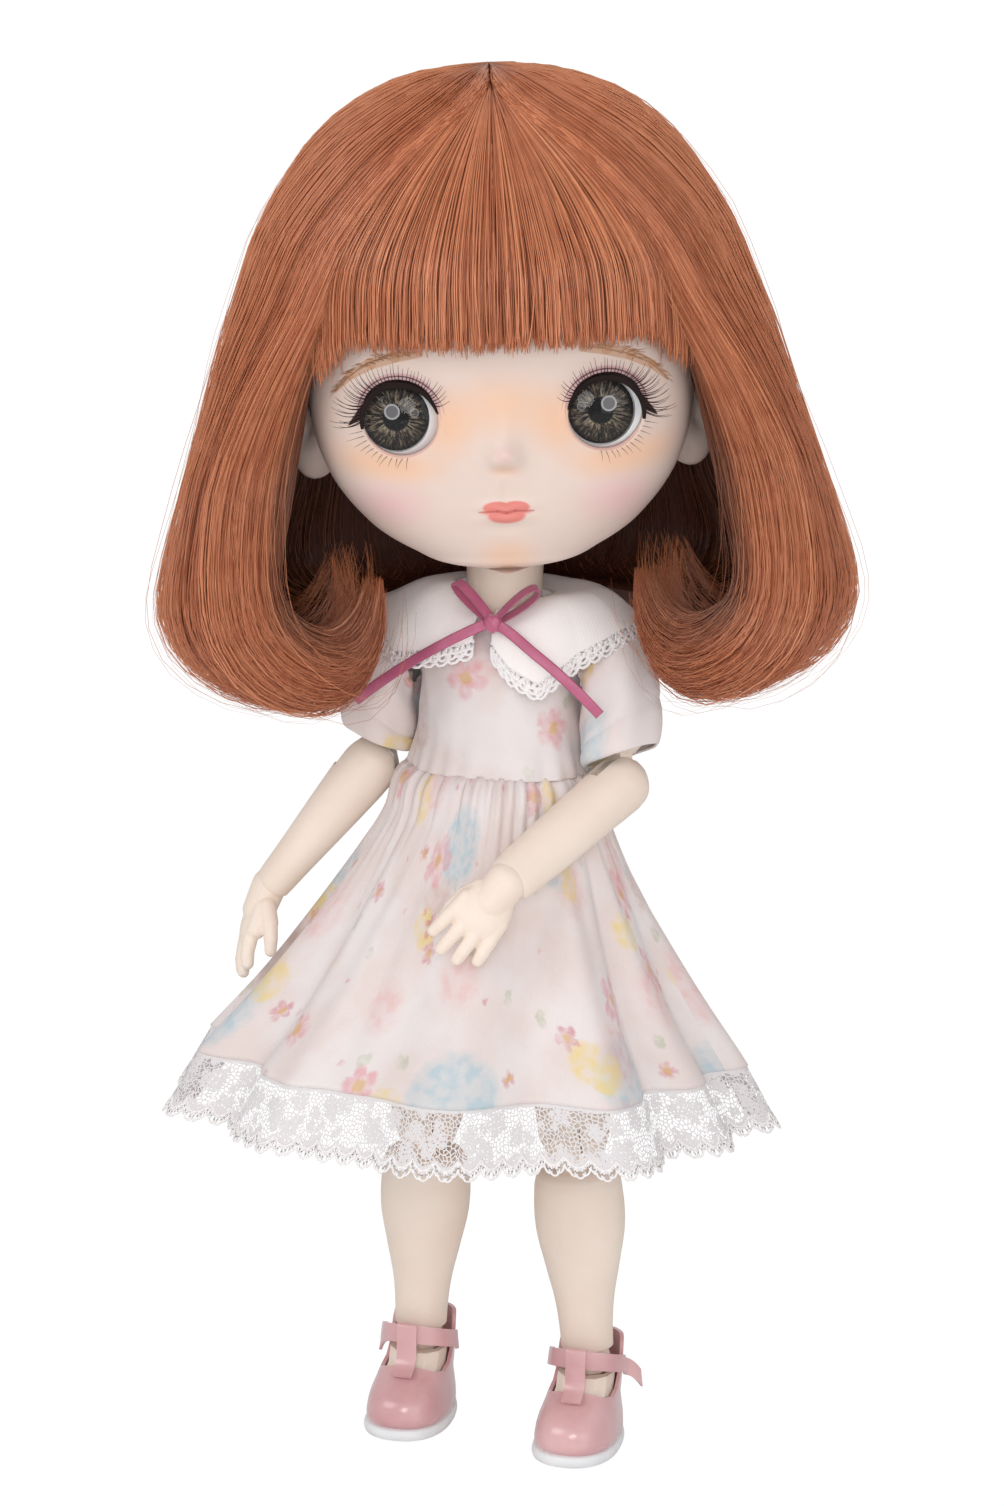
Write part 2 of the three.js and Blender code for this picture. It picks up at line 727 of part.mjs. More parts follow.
// Columns that crowd together towards the face
function headRing(z, grow, across, crowd, relief) {
  const { width, front, back, power } = headOutline(z);
  const middle = half(back - front);
  const ring = [];
  for (let side = 0; side < across; side += 1) {
    const v = ((side + 0.5) / across) * 2 - 1;
    const angle = Math.sign(v) * Math.PI * Math.abs(v) ** crowd;
    const [s, c] = [Math.sin(angle), Math.cos(angle)];
    const reach = half(front + back) + grow;
    const mid = c > 0 ? power : 2;
    const x = Math.sign(s) * (width + grow) * Math.abs(s) ** (2 / mid);
    let y = middle - Math.sign(c) * reach * Math.abs(c) ** (2 / mid);
    if (relief && c > 0) y -= faceRelief(x, z);
    ring.push(at(x, y, z));
  }
  return ring;
}
// Nose, lips and eye sockets, as reach in front of the plain face
function faceRelief(x, z) {
  const hill = (dx, dz, wide, high) => Math.exp(-((dx / wide) ** 2) - (dz / high) ** 2);
  const nose = noseReach * hill(x, z + noseDrop, noseHalfWidth, noseHalfHeight);
  const upper = hill(x, z + mouthDrop - lipHalfHeight, mouthHalfWidth, lipHalfHeight);
  const lower = hill(x, z + mouthDrop + lipHalfHeight, mouthHalfWidth, lipHalfHeight);
  const socket = hill(Math.abs(x) - eyeHalfSpacing, z - eyeLift, socketRadius, socketRadius);
  return nose + lipReach * (upper + lower) - socketDepth * socket;
}
const faceLevelShares = [
  -1, -0.96, -0.88, -0.78, -0.72, -0.67, -0.62, -0.55, -0.46, -0.36, -0.27, -0.18, 0
];
const skullLevelShares = [0.12, 0.31, 0.5, 0.66, 0.79, 0.9, 0.965, 1];
const headColumns = 28;
function headSkin() {
  const levels = [
    ...faceLevelShares.map((share) => share * chinDrop),
    ...skullLevelShares.map((share) => share * crownRise)
  ];
  return skin(levels.map((z) => headRing(z, 0, headColumns, 1.45, true)));
}
function skullSkin(grow, bottom, across, rows = [0.06, 0.31, 0.66, 0.9, 1]) {
  const rise = rows.map((share) => share * crownRise);
  const levels = [bottom, half(bottom), ...rise];
  return skin(levels.map((z) => headRing(z, grow, across, 1, false)
    .map((point) => (z > 0 ? point.setZ(point.z * (crownRise + grow) / crownRise) : point))));
}
function ear(side) {
  const shell = sphere(1, 0, 0, 0, smallSides, smallRows).scale(earReach, earHalfDepth, earHalfHeight);
  const bowl = sphere(1, 0, 0, 0, 8, smallRows).scale(half(earReach), half(earHalfDepth), half(earHalfHeight));
  bowl.translate(half(earReach), -earHalfDepth + earHollow, half(earHollow));
  const shape = solid(shell).subtract(solid(bowl));
  const geometry = skinOf(shape).rotateZ(radians(-18)).rotateY(radians(-8));
  geometry.translate(headOutline(-earDrop).width, earSetBack, -earDrop);
  if (side < 0) return mirrored(geometry);
  return geometry;
}
function mirrored(geometry) {
  const flipped = geometry.clone().scale(-1, 1, 1);
  if (!flipped.index) flipped.setIndex([...Array(flipped.attributes.position.count).keys()]);
  return outward(flipped);
}
// Everything above a sloping plane, from the forehead down to the back of the head
function abovePlane(frontRise, backRise, lift) {
  const span = headFront + headBack;
  const slope = Math.atan2(frontRise - backRise, span);
  return box(-overrun * 2, overrun * 2, -overrun * 3, overrun * 3, 0, overrun * 3)
    .rotateX(-slope).translate(0, half(headBack - headFront), half(frontRise + backRise) + lift);
}
const eyePlaces = Object.fromEntries(Object.entries(sides).map(([name, side]) => {
  const tilt = radians(eyeTurn);
  const x = side * (eyeHalfSpacing - eyeBallDepth * Math.sin(tilt));
  const y = -eyeFace + eyeBallDepth * Math.cos(tilt);
  return [name, { x, y, angle: side * tilt }];
}));
function headShell() {
  let outer = solid(headSkin());
  for (const side of Object.values(sides)) outer = outer.add(solid(ear(side)));
  let shell = outer
    .subtract(solid(skullSkin(-headWall, -cavityFloor, limbSides)))
    .subtract(solid(seat(neckKnobRadius + runGap, 0, -headSetBack, -faceRise)));
  for (const { x, y, angle } of Object.values(eyePlaces)) {
    const hole = rod('y', 1, overrun, 0, -half(overrun), 0, 20)
      .scale(lidHalfWidth, 1, lidHalfHeight).rotateZ(angle).translate(x, y, eyeLift);
    const nest = seat(eyeBallRadius + runGap).rotateZ(angle).translate(x, y, eyeLift);
    shell = shell.subtract(solid(hole)).subtract(solid(nest));
  }
  return shell;
}
const wholeHead = headShell();
const faceShell = wholeHead.subtract(solid(abovePlane(capFrontRise, capBackRise, 0)));
const headCap = wholeHead.intersect(solid(abovePlane(capFrontRise, capBackRise, runGap)));
piece(head, 'face_shell', faceShell, skinTone);
piece(head, 'head_cap', headCap, skinTone);

// Eyes, half balls with a sunk iris under a clear dome
function eyeWhiteBlock() {
  const back = box(-overrun, overrun, eyeBackCut, overrun, -overrun, overrun);
  const well = sleeveRod('y', irisRadius + runGap, overrun, 0, -irisFace + runGap - half(overrun));
  return cut(sphere(eyeBallRadius, 0, 0, 0, 16, ballRows), back, well);
}
function dome(radius, base, rise, steps) {
  const rows = [[0, base]];
  for (let step = 0; step <= steps; step += 1) {
    const angle = (step / steps) * quarter;
    const edge = step === 0 ? runGap : 0;
    rows.push([radius * Math.cos(angle), base + edge + (rise - runGap) * Math.sin(angle)]);
    if (step === 0) rows.splice(1, 0, [radius, base]);
  }
  rows.at(-1)[0] = 0;
  return turned(rows).rotateX(quarter);
}
for (const [name, { x, y, angle }] of Object.entries(eyePlaces)) {
  const eye = new THREE.Group();
  eye.position.set(x, y, eyeLift);
  eye.rotation.z = angle;
  head.add(eye);
  piece(eye, `eye_${name}`, eyeWhiteBlock(), eyeWhite);
  const irisFront = irisFace + half(irisThickness);
  const disc = rod('y', irisRadius, irisThickness, 0, -irisFront, 0);
  piece(eye, `iris_${name}`, disc, irisTone);
  const glassBase = irisFace + irisThickness + runGap;
  piece(eye, `cornea_${name}`, dome(irisRadius, glassBase, corneaBulge, 2), eyeGlass);
  piece(eye, `lash_${name}`, lashStrip(sides[name]), lashTone);
}
// Upper lashes, a comb that stands out along the upper lid
function lashStrip(side) {
  const rings = [];
  const steps = 2 * lashCount;
  for (let step = 0; step <= steps; step += 1) {
    const share = step / steps;
    const angle = lerp(radians(12), radians(168), share);
    const outer = side > 0 ? 1 - share : share;
    const reach = lashLength * (step % 2 === 0 ? 0.6 : 1) * lerp(0.75, 1.25, outer);
    const lid = at(Math.cos(angle) * (lidHalfWidth - clothGap), 0, Math.sin(angle) * (lidHalfHeight - clothGap));
    const out = at(Math.cos(angle), 0, Math.sin(angle));
    const root = lid.clone().addScaledVector(out, -lashThickness).setY(-eyeBallDepth);
    const bend = lid.clone().setY(-eyeBallDepth - half(reach) - lashThickness);
    const tip = lid.clone().addScaledVector(out, 0.8 * reach).setY(-eyeBallDepth - reach);
    const under = at(0, -lashThickness, 0);
    rings.push([
      root, bend, tip, tip.clone().add(under), bend.clone().add(under).addScaledVector(out, -half(lashThickness)),
      root.clone().add(under)
    ]);
  }
  return skin(rings);
}

// Wig lining, a thin cap over the crown
const liningColumns = 18;
const liningRows = [0, ...skullLevelShares];
const lining = cut(
  skullSkin(liningGap + capLining, -2 * liningBackDrop, liningColumns, liningRows),
  skullSkin(liningGap, -2.4 * liningBackDrop, liningColumns, liningRows)
);
piece(head, 'wig_cap', lining.intersect(solid(abovePlane(liningFrontRise, -liningBackDrop, 0))), netTone);

// Hair. Each strand path runs from the parting down, under and up inside the curl.
// Rows give the outer and inner radius and height at the side, and the same at the back.
const sideStrandShares = [
  [0.02, 0.993, 0.02, 0.942], [0.2, 0.97, 0.17, 0.922], [0.36, 0.905, 0.295, 0.858],
  [0.49, 0.805, 0.42, 0.755], [0.59, 0.675, 0.522, 0.64], [0.675, 0.526, 0.61, 0.505],
  [0.735, 0.352, 0.66, 0.34], [0.785, 0.205, 0.69, 0.19], [0.835, 0.029, 0.72, 0.022],
  [0.89, -0.174, 0.75, -0.174], [0.938, -0.362, 0.776, -0.35], [0.986, -0.55, 0.795, -0.49],
  [1, -0.696, 0.782, -0.6], [0.952, -0.84, 0.75, -0.67], [0.836, -0.949, 0.7, -0.71],
  [0.69, -1, 0.652, -0.725], [0.57, -0.945, 0.61, -0.7], [0.505, -0.812, 0.575, -0.65],
  [0.488, -0.652, 0.545, -0.585], [0.507, -0.52, 0.52, -0.51]
];
const backStrandShares = [
  [0.02, 0.993, 0.02, 0.942], [0.222, 0.968, 0.212, 0.922], [0.393, 0.901, 0.368, 0.858],
  [0.562, 0.797, 0.524, 0.755], [0.69, 0.667, 0.652, 0.64], [0.81, 0.522, 0.765, 0.505],
  [0.89, 0.348, 0.83, 0.34], [0.935, 0.203, 0.855, 0.19], [0.96, 0.029, 0.858, 0.022],
  [0.98, -0.174, 0.855, -0.174], [0.995, -0.362, 0.846, -0.35], [1, -0.55, 0.838, -0.49],
  [0.99, -0.696, 0.82, -0.6], [0.955, -0.82, 0.795, -0.66], [0.87, -0.905, 0.77, -0.69],
  [0.77, -0.93, 0.735, -0.7], [0.68, -0.88, 0.71, -0.675], [0.628, -0.785, 0.684, -0.645],
  [0.616, -0.667, 0.658, -0.61], [0.63, -0.58, 0.64, -0.565]
];
// Where the front edge of the side hair lies, in degrees from straight ahead
const frontEdgeDegrees = [
  0, 4, 12, 24, 34, 42, 48, 58, 74, 76, 72, 64, 58, 54, 51, 49, 47, 46, 46, 46
];
const backEdgeDegrees = 128;
function hairSection(edgeA, edgeB, share, flare, scales = { inside: 1, outside: 1 }) {
  const steps = sideStrandShares.length;
  const outer = [];
  const inner = [];
  for (let step = 0; step < steps; step += 1) {
    const degrees = lerp(edgeA[step], edgeB[step], share);
    const angle = radians(degrees);
    const wide = flare(degrees);
    const mixed = sideStrandShares[step].map((value, n) => {
      const size = n % 2 === 0 ? [hairHalfWidth, hairBackReach] : [hairDrop, hairDrop];
      return lerp(backStrandShares[step][n] * size[1], value * size[0], wide);
    });
    const [outR, outZ, inR, inZ] = mixed;
    const way = [Math.sin(angle), -Math.cos(angle)];
    const lift = (z) => (z > 0 ? z * hairTop / hairDrop : z);
    outer.push(at(way[0] * outR, way[1] * outR, lift(outZ)).multiplyScalar(scales.outside));
    inner.push(at(way[0] * inR, way[1] * inR, lift(inZ)).multiplyScalar(scales.inside));
  }
  return [...outer, ...inner.reverse()];
}
const flareAt = (degrees) => {
  if (degrees < 90) return lerp(0.72, 1, smooth(degrees, 44, 84));
  return 1 - smooth(degrees, 96, 172);
};
function hairMass(edgeA, edgeB, sections, lead = 0, scales = { inside: 1, outside: 1 }) {
  const rings = [];
  if (lead > 0) {
    const early = edgeA.map((edge) => edge - lead);
    rings.push(hairSection(early, edgeB, 0, flareAt, scales));
  }
  for (let section = 0; section <= sections; section += 1) {
    rings.push(hairSection(edgeA, edgeB, section / sections, flareAt, scales));
  }
  return skin(rings);
}
const backEdge = frontEdgeDegrees.map(() => backEdgeDegrees);
const sideLock = hairMass(frontEdgeDegrees, backEdge, 6).translate(partGap, 0, 0);
piece(head, 'wig_left', sideLock, hairTone);
piece(head, 'wig_right', mirrored(sideLock), hairTone);
const backStart = frontEdgeDegrees.map(() => backEdgeDegrees + lockGapDegrees);
const backEnd = frontEdgeDegrees.map(() => 360 - backEdgeDegrees - lockGapDegrees);
const backMass = () => {
  const rings = [];
  const sections = 7;
  for (let section = 0; section <= sections; section += 1) {
    const flare = (degrees) => flareAt(degrees > 180 ? 360 - degrees : degrees);
    rings.push(hairSection(backStart, backEnd, section / sections, flare));
  }
  return skin(rings);
};
piece(head, 'wig_back', backMass(), hairTone);

// Fringe, combed forward between the side locks and cut straight over the eyes
const fringeShares = [
  [0.285, 0.925, 6], [0.495, 0.845, 18], [0.7, 0.705, 30], [0.855, 0.53, 39], [0.982, 0.305, 45],
  [1, 0.08, 46.5], [0.998, 0, 46.5]
];
function fringe() {
  const rings = [];
  const sections = 8;
  for (let section = 0; section <= sections; section += 1) {
    const swing = (section / sections) * 2 - 1;
    const outer = [];
    const inner = [];
    for (const [rShare, zShare, reach] of fringeShares) {
      const angle = radians(reach * swing);
      const z = lerp(fringeDrop, hairTop, zShare);
      const way = at(Math.sin(angle), -Math.cos(angle), 0);
      outer.push(way.clone().multiplyScalar(rShare * fringeReach).setZ(z));
      const rise = fringeThickness * zShare;
      const inset = fringeThickness * (1 - half(zShare));
      inner.push(way.clone().multiplyScalar(rShare * fringeReach - inset).setZ(z - rise));
    }
    rings.push([...outer, ...inner.reverse()]);
  }
  return skin(rings);
}
const fringeRoom = hairMass(frontEdgeDegrees, backEdge, 6, fringeRoomDegrees, fringeRoomShares)
  .translate(half(partGap), 0, 0);
const liningRoom = skullSkin(liningGap + capLining + runGap, 0, liningColumns, liningRows);
piece(head, 'wig_fringe', cut(fringe(), fringeRoom, mirrored(fringeRoom), liningRoom), hairTone);

// Arms
const upperArmShares = [[0, 0.99], [0.25, 1.02], [0.6, 1], [1, 0.96]];
function sleeveShell(tiltSide) {
  const outer = [];
  const inner = [];
  const steps = 3;
  for (let step = 0; step <= steps; step += 1) {
    const angle = quarter - (step / steps) * quarter;
    outer.push([sleeveCapRadius * Math.cos(angle), sleeveCapRadius * Math.sin(angle)]);
    const inside = sleeveCapRadius - sleeveWall;
    inner.push([inside * Math.cos(angle), inside * Math.sin(angle)]);
  }
  outer[0][0] = 0;
  inner[0][0] = 0;
  for (const [zShare, rShare] of [[0.25, 0.4], [0.6, 1], [1, 0.6]]) {
    const radius = lerp(sleeveCapRadius, sleeveRadius, rShare);
    outer.push([radius, -zShare * sleeveLength]);
    inner.push([radius - sleeveWall, -zShare * sleeveLength]);
  }
  const tube = turned([...outer, ...inner.reverse()]);
  const edge = Math.atan2(0.65 * sleeveCapRadius, 1.7 * sleeveCapRadius);
  const opening = box(-overrun, 0, -overrun, overrun, -half(sleeveCapRadius) * 1.8, overrun)
    .translate(-runGap, 0, -half(sleeveCapRadius)).rotateY(edge).translate(-half(sleeveCapRadius) * 0.5, 0, 0);
  if (tiltSide < 0) return cut(tube, mirrored(opening));
  return cut(tube, opening);
}
function elbowPiece() {
  const drop = upperArmLength - twistCut;
  const clear = elbowRadius + runGap;
  const cone = turned([
    [0, drop - runGap], [upperArmRadius * 0.95, drop - runGap], [upperArmRadius * 0.95, drop - half(drop - clear)],
    [elbowNeckRadius, clear], [0, clear]
  ]);
  const neck = box(-elbowTongueHalfWidth, elbowTongueHalfWidth, -half(elbowNeckRadius), half(elbowNeckRadius), 0, clear + runGap);
  const disc = rod('x', elbowDiscRadius, 2 * elbowTongueHalfWidth);
  return solid(cone).add(solid(neck)).add(solid(disc));
}
const foreArmShares = [
  [-0.155, 0.06], [-0.13, 0.5], [-0.075, 0.86], [0, 1], [0.1, 1], [0.25, 0.97], [0.5, 0.86], [0.8, 0.72], [1, 0.695]
];
function foreArmBlock() {
  const length = foreArmLength - wristGap - wristSink * wristBallRadius;
  const arm = turned(foreArmShares.map(([zShare, rShare]) => [rShare * elbowRadius, -zShare * length])
    .concat([[0, -length]]).reverse().concat([[0, 0.155 * length]]));
  const slotHalf = elbowTongueHalfWidth + runGap;
  const disc = sleeveRod('x', elbowDiscRadius + runGap, 2 * slotHalf);
  const above = box(-slotHalf, slotHalf, -overrun, overrun, 0, overrun);
  const front = box(-slotHalf, slotHalf, -overrun, 0, -elbowDiscRadius, half(elbowDiscRadius));
  return cut(arm, disc, above, front);
}
function wristBlock() {
  const length = wristGap + wristSink * wristBallRadius - runGap;
  const stub = rod('z', wristStubRadius, length, 0, 0, half(length), smallSides);
  return solid(sphere(wristBallRadius, 0, 0, 0, smallSides, smallRows)).add(solid(stub));
}
// Hand, a palm with four fingers and a thumb
const fingerShares = [[-0.72, 0.9, -5], [-0.25, 1, -1.5], [0.24, 0.96, 2], [0.7, 0.82, 6]];
function handBlock(side) {
  const palmRows = [
    [0.02, 0.5, 0.9], [0.22, 0.74, 1.05], [0.55, 0.98, 1.05], [0.85, 1, 0.95], [1.04, 0.86, 0.7]
  ];
  let shape = solid(skin(palmRows.map(([zShare, wShare, tShare]) => levelRing({
    z: -half(wristBallRadius) - zShare * palmLength, width: wShare * palmHalfWidth,
    front: tShare * palmHalfThickness, back: tShare * palmHalfThickness, power: 2.4, across: 12
  }))));
  const finger = (length) => turned([
    [0, 0], [fingerRadius, -0.1 * length], [fingerRadius * 0.9, -0.8 * length], [0, -length]
  ], 7);
  for (const [xShare, lengthShare, splay] of fingerShares) {
    const tip = finger(lengthShare * fingerLength + fingerRadius);
    tip.rotateX(radians(5)).rotateY(radians(splay * -side));
    tip.translate(side * xShare * palmHalfWidth, 0, -half(wristBallRadius) - palmLength + fingerRadius);
    shape = shape.add(solid(tip));
  }
  const thumb = finger(thumbLength).rotateX(radians(18)).rotateY(radians(26 * side));
  thumb.translate(-side * 0.6 * palmHalfWidth, 0, -half(wristBallRadius) - palmLength * 0.3);
  shape = shape.add(solid(thumb));
  return shape.subtract(solid(seat(wristBallRadius + runGap, 0, 0, 0, smallSides, smallRows)));
}
for (const [name, side] of Object.entries(sides)) {
  const shoulder = [side * shoulderHalfSpacing, 0, shoulderRise];
  const swing = pivot(trunk, `shoulder_swing_${name}`, shoulder, 'x', -armSwingRest[name]);
  piece(swing, `shoulder_joint_${name}`, sphere(shoulderBallRadius, 0, 0, 0, smallSides, smallRows), jointTone);
  const raise = pivot(swing, `shoulder_raise_${name}`, [0, 0, 0], 'y', -side * armRaiseRest[name]);
  const armSpan = twistCut - upperArmTop;
  const armRows = upperArmShares.map(([zShare, rShare]) =>
    [rShare * upperArmRadius, -upperArmTop - zShare * armSpan]);
  const arm = turned([[0, -twistCut], ...armRows.reverse(), [0, -upperArmTop]]);
  const ballRoom = seat(shoulderBallRadius + runGap, 0, 0, 0, smallSides, smallRows);
  piece(raise, `upper_arm_${name}`, cut(arm, ballRoom), skinTone);
  piece(raise, `sleeve_${name}`, sleeveShell(side), clothTone);
  const twist = pivot(raise, `arm_twist_${name}`, [0, 0, -upperArmLength], 'z', armTwistRest[name]);
  piece(twist, `elbow_joint_${name}`, elbowPiece(), jointTone);
  const bend = pivot(twist, `elbow_bend_${name}`, [0, 0, 0], 'x', -elbowBendRest[name]);
  piece(bend, `forearm_${name}`, foreArmBlock(), skinTone);
  const spin = pivot(bend, `wrist_turn_${name}`, [0, 0, -foreArmLength], 'z', wristTurnRest[name]);
  piece(spin, `wrist_joint_${name}`, wristBlock(), jointTone);
  const flex = pivot(spin, `wrist_bend_${name}`, [0, 0, 0], 'x', wristBendRest[name]);
  piece(flex, `hand_${name}`, handBlock(side), skinTone);
}

// Legs
const thighShares = [
  [0.04, 0.9, 0.88, 0.88], [0.16, 0.97, 0.95, 0.97], [0.34, 1, 1, 1], [0.6, 0.91, 0.91, 0.91],
  [0.85, 0.73, 0.71, 0.71], [1, 0.69, 0.67, 0.67], [1.12, 0.52, 0.5, 0.5], [1.18, 0.15, 0.15, 0.15]
];
function thighBlock() {
  const slotHalf = kneeTongueHalfWidth + runGap;
  const block = limb(thighShares, thighLength, thighHalfWidth, thighHalfDepth);
  const knee = [0, 0, -thighLength];
  const slot = box(-slotHalf, slotHalf, -overrun, overrun, -thighLength - overrun, -thighLength);
  const round = sleeveRod('x', kneeTongueRadius + runGap, 2 * slotHalf, ...knee);
  const bore = sleeveRod('x', kneePinRadius + runGap, overrun, ...knee, smallSides);
  const rear = box(-slotHalf, slotHalf, 0, overrun, -thighLength - runGap, -thighLength + half(kneeTongueRadius));
  return cut(block, slot, rear, round, bore, seat(hipBallRadius + runGap));
}
const shinShares = [
  [0.155, 0.56, 0.54, 0.6], [0.215, 0.84, 0.78, 0.92], [0.29, 0.98, 0.88, 1.06], [0.42, 1, 0.88, 1.1],
  [0.58, 0.84, 0.76, 0.92], [0.75, 0.66, 0.62, 0.68], [0.87, 0.6, 0.59, 0.6], [0.945, 0.59, 0.58, 0.58]
];
function shinBlock() {
  const block = limb(shinShares, shinLength, calfHalfWidth, calfHalfDepth);
  const tongue = rod('x', kneeTongueRadius, 2 * kneeTongueHalfWidth);
  const neck = box(-kneeTongueHalfWidth, kneeTongueHalfWidth, -half(kneeHalfWidth), half(kneeHalfWidth),
    -0.2 * shinLength, -half(kneeTongueRadius));
  const bore = sleeveRod('x', kneePinRadius + runGap, overrun, 0, 0, 0, smallSides);
  const cup = seat(ankleBallRadius + runGap, 0, 0, -shinLength, smallSides, smallRows);
  return solid(block).add(solid(tongue)).add(solid(neck)).subtract(solid(bore)).subtract(solid(cup));
}
// Plan outline of a foot, wider at the toes, at a height above the ground
const toeWidthShare = 1.07;
const heelWidthShare = 0.85;
function footRing(height, width, toe, heel, across = limbSides) {
  const ring = levelRing({
    z: height - ankleHeight, width, front: toe, back: heel, middle: half(heel - toe), power: 2.3, across
  });
  return ring.map((point) => {
    const share = clamp((point.y + toeReach) / (toeReach + heelReach), 0, 1);
    return point.setX(point.x * lerp(toeWidthShare, heelWidthShare, share));
  });
}
function soleBlock() {
  const inset = half(runGap);
  const rings = [
    footRing(0, shoeHalfWidth - inset, toeReach - inset, heelReach - inset),
    footRing(half(half(soleHeight)), shoeHalfWidth, toeReach, heelReach),
    footRing(soleHeight, shoeHalfWidth, toeReach, heelReach)
  ];
  const notch = box(-overrun, overrun, heelNotchFront, heelNotchBack, -ankleHeight - overrun, heelNotch - ankleHeight);
  return cut(skin(rings), notch);
}
// Rows give height, half width, toe reach and heel reach as shares of the shoe's own sizes
const upperShares = [
  [0.115, 0.97, 0.975, 0.985], [0.24, 0.985, 0.985, 1.02], [0.36, 0.94, 0.93, 1], [0.47, 0.88, 0.77, 0.95],
  [0.56, 0.87, 0.56, 0.93], [0.7, 0.88, 0.47, 0.88], [0.86, 0.89, 0.44, 0.86], [1, 0.89, 0.43, 0.86]
];
function shoeSkin(inset, floor, stretch) {
  return skin(upperShares.map(([hShare, wShare, tShare, kShare], row) => {
    const first = row === 0;
    const last = row === upperShares.length - 1;
    const height = first ? soleHeight + floor : hShare * counterHeight + (last ? stretch : 0);
    return footRing(height, wShare * shoeHalfWidth - inset, tShare * toeReach - inset, kShare * heelReach - inset);
  }));
}
function upperBlock() {
  const hollow = shoeSkin(shoeWall, runGap + shoeWall, runGap);
  const throat = box(-overrun, overrun, -overrun, throatBack, throatHeight - ankleHeight, overrun);
  return cut(shoeSkin(0, runGap, 0), hollow, throat);
}
function footBlock() {
  const inset = shoeWall + clothGap;
  const rings = upperShares.slice(0, 6).map(([hShare, wShare, tShare, kShare], row) => {
    const height = row === 0 ? soleHeight + shoeWall + 2 * runGap : hShare * counterHeight;
    return footRing(height, wShare * shoeHalfWidth - inset, tShare * toeReach - inset, kShare * heelReach - inset);
  });
  const cup = seat(ankleBallRadius + runGap, 0, 0, 0, smallSides, smallRows);
  const above = box(-overrun, overrun, -overrun, overrun, -runGap, overrun);
  return cut(skin(rings), cup, above);
}
const barShares = [[0.34, 0.91], [0.48, 0.7], [0.59, 0.61], [0.77, 0.525]];
function strapBlock(side) {
  const rise = counterHeight - half(strapWidth) - runGap - ankleHeight;
  const away = clothGap + half(strapThickness);
  const width = upperShares.at(-2)[1] * shoeHalfWidth + away;
  const front = upperShares.at(-2)[2] * toeReach + away;
  const path = [];
  const facing = [];
  const steps = 10;
  for (let step = 0; step <= steps; step += 1) {
    const angle = lerp(radians(-112), radians(112), step / steps);
    const [s, c] = [Math.sin(angle), Math.cos(angle)];
    const y = c > 0 ? -front * c : -half(front) * c;
    path.push(at(width * s, y, rise));
    facing.push(at(s, -c, 0));
  }
  const tab = path[side > 0 ? steps : 0].clone();
  tab.add(at(side * 0.5 * strapTabLength, 0.6 * strapTabLength, -0.25 * strapTabLength));
  const tabFacing = at(side * 0.8, -0.6, 0);
  if (side > 0) {
    path.push(tab);
    facing.push(tabFacing);
  } else {
    path.unshift(tab);
    facing.unshift(tabFacing);
  }
  const ring = band(path, facing, strapWidth, strapThickness);
  const barPath = barShares.map(([yShare, hShare], spot) => (spot === 0
    ? at(0, -front, rise) : at(0, -yShare * toeReach, hShare * counterHeight - ankleHeight)));
  const barFacing = [at(0, -1, 0), at(0, -1, 0.3), at(0, -0.6, 1), at(0, -0.6, 1)];
  const bar = band(barPath, barFacing, 2 * barHalfWidth, strapThickness);
  return solid(ring).add(solid(bar));
}
for (const [name, side] of Object.entries(sides)) {
  const hip = [side * hipHalfSpacing, hipSetBack, 0];
  const swing = pivot(pelvis, `hip_swing_${name}`, hip, 'x', -legSwingRest[name]);
  piece(swing, `hip_ball_${name}`, sphere(hipBallRadius), jointTone);
  const spread = pivot(swing, `hip_spread_${name}`, [0, 0, 0], 'y', -side * legSpreadRest[name]);
  piece(spread, `thigh_${name}`, thighBlock(), skinTone);
  const knee = [0, 0, -thighLength];
  const pinLength = 1.8 * kneeHalfWidth;
  piece(spread, `knee_pin_${name}`, rod('x', kneePinRadius, pinLength, ...knee, smallSides), jointTone);
  const bend = pivot(spread, `knee_bend_${name}`, knee, 'x', 0);
  piece(bend, `shin_${name}`, shinBlock(), skinTone);
  const ankle = pivot(bend, `ankle_bend_${name}`, [0, 0, -shinLength], 'x', 0);
  piece(ankle, `ankle_ball_${name}`, sphere(ankleBallRadius, 0, 0, 0, smallSides, smallRows), jointTone);
  const roll = pivot(ankle, `ankle_roll_${name}`, [0, 0, 0], 'y', side * legSpreadRest[name]);
  const foot = pivot(roll, `foot_level_${name}`, [0, 0, 0], 'x', legSwingRest[name]);
  piece(foot, `foot_${name}`, footBlock(), skinTone);
  piece(foot, `shoe_sole_${name}`, soleBlock(), soleTone);
  piece(foot, `shoe_upper_${name}`, upperBlock(), shoeTone);
  piece(foot, `shoe_strap_${name}`, strapBlock(side), shoeTone);
}

// Bring the origin under the middle of the whole doll
doll.updateMatrixWorld(true);
const bounds = new THREE.Box3().setFromObject(doll, true);
const centre = bounds.getCenter(at(0, 0, 0));
doll.position.set(-centre.x, -centre.y, -bounds.min.z);
doll.updateMatrixWorld(true);

export default doll;
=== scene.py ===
# A jointed doll about 30 cm tall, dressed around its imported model.
# Metres, +Z up; the doll faces -Y and its left side is +X.
import json
import math

import bmesh
import bpy
import numpy as np
from mathutils import Matrix, Vector, bvhtree


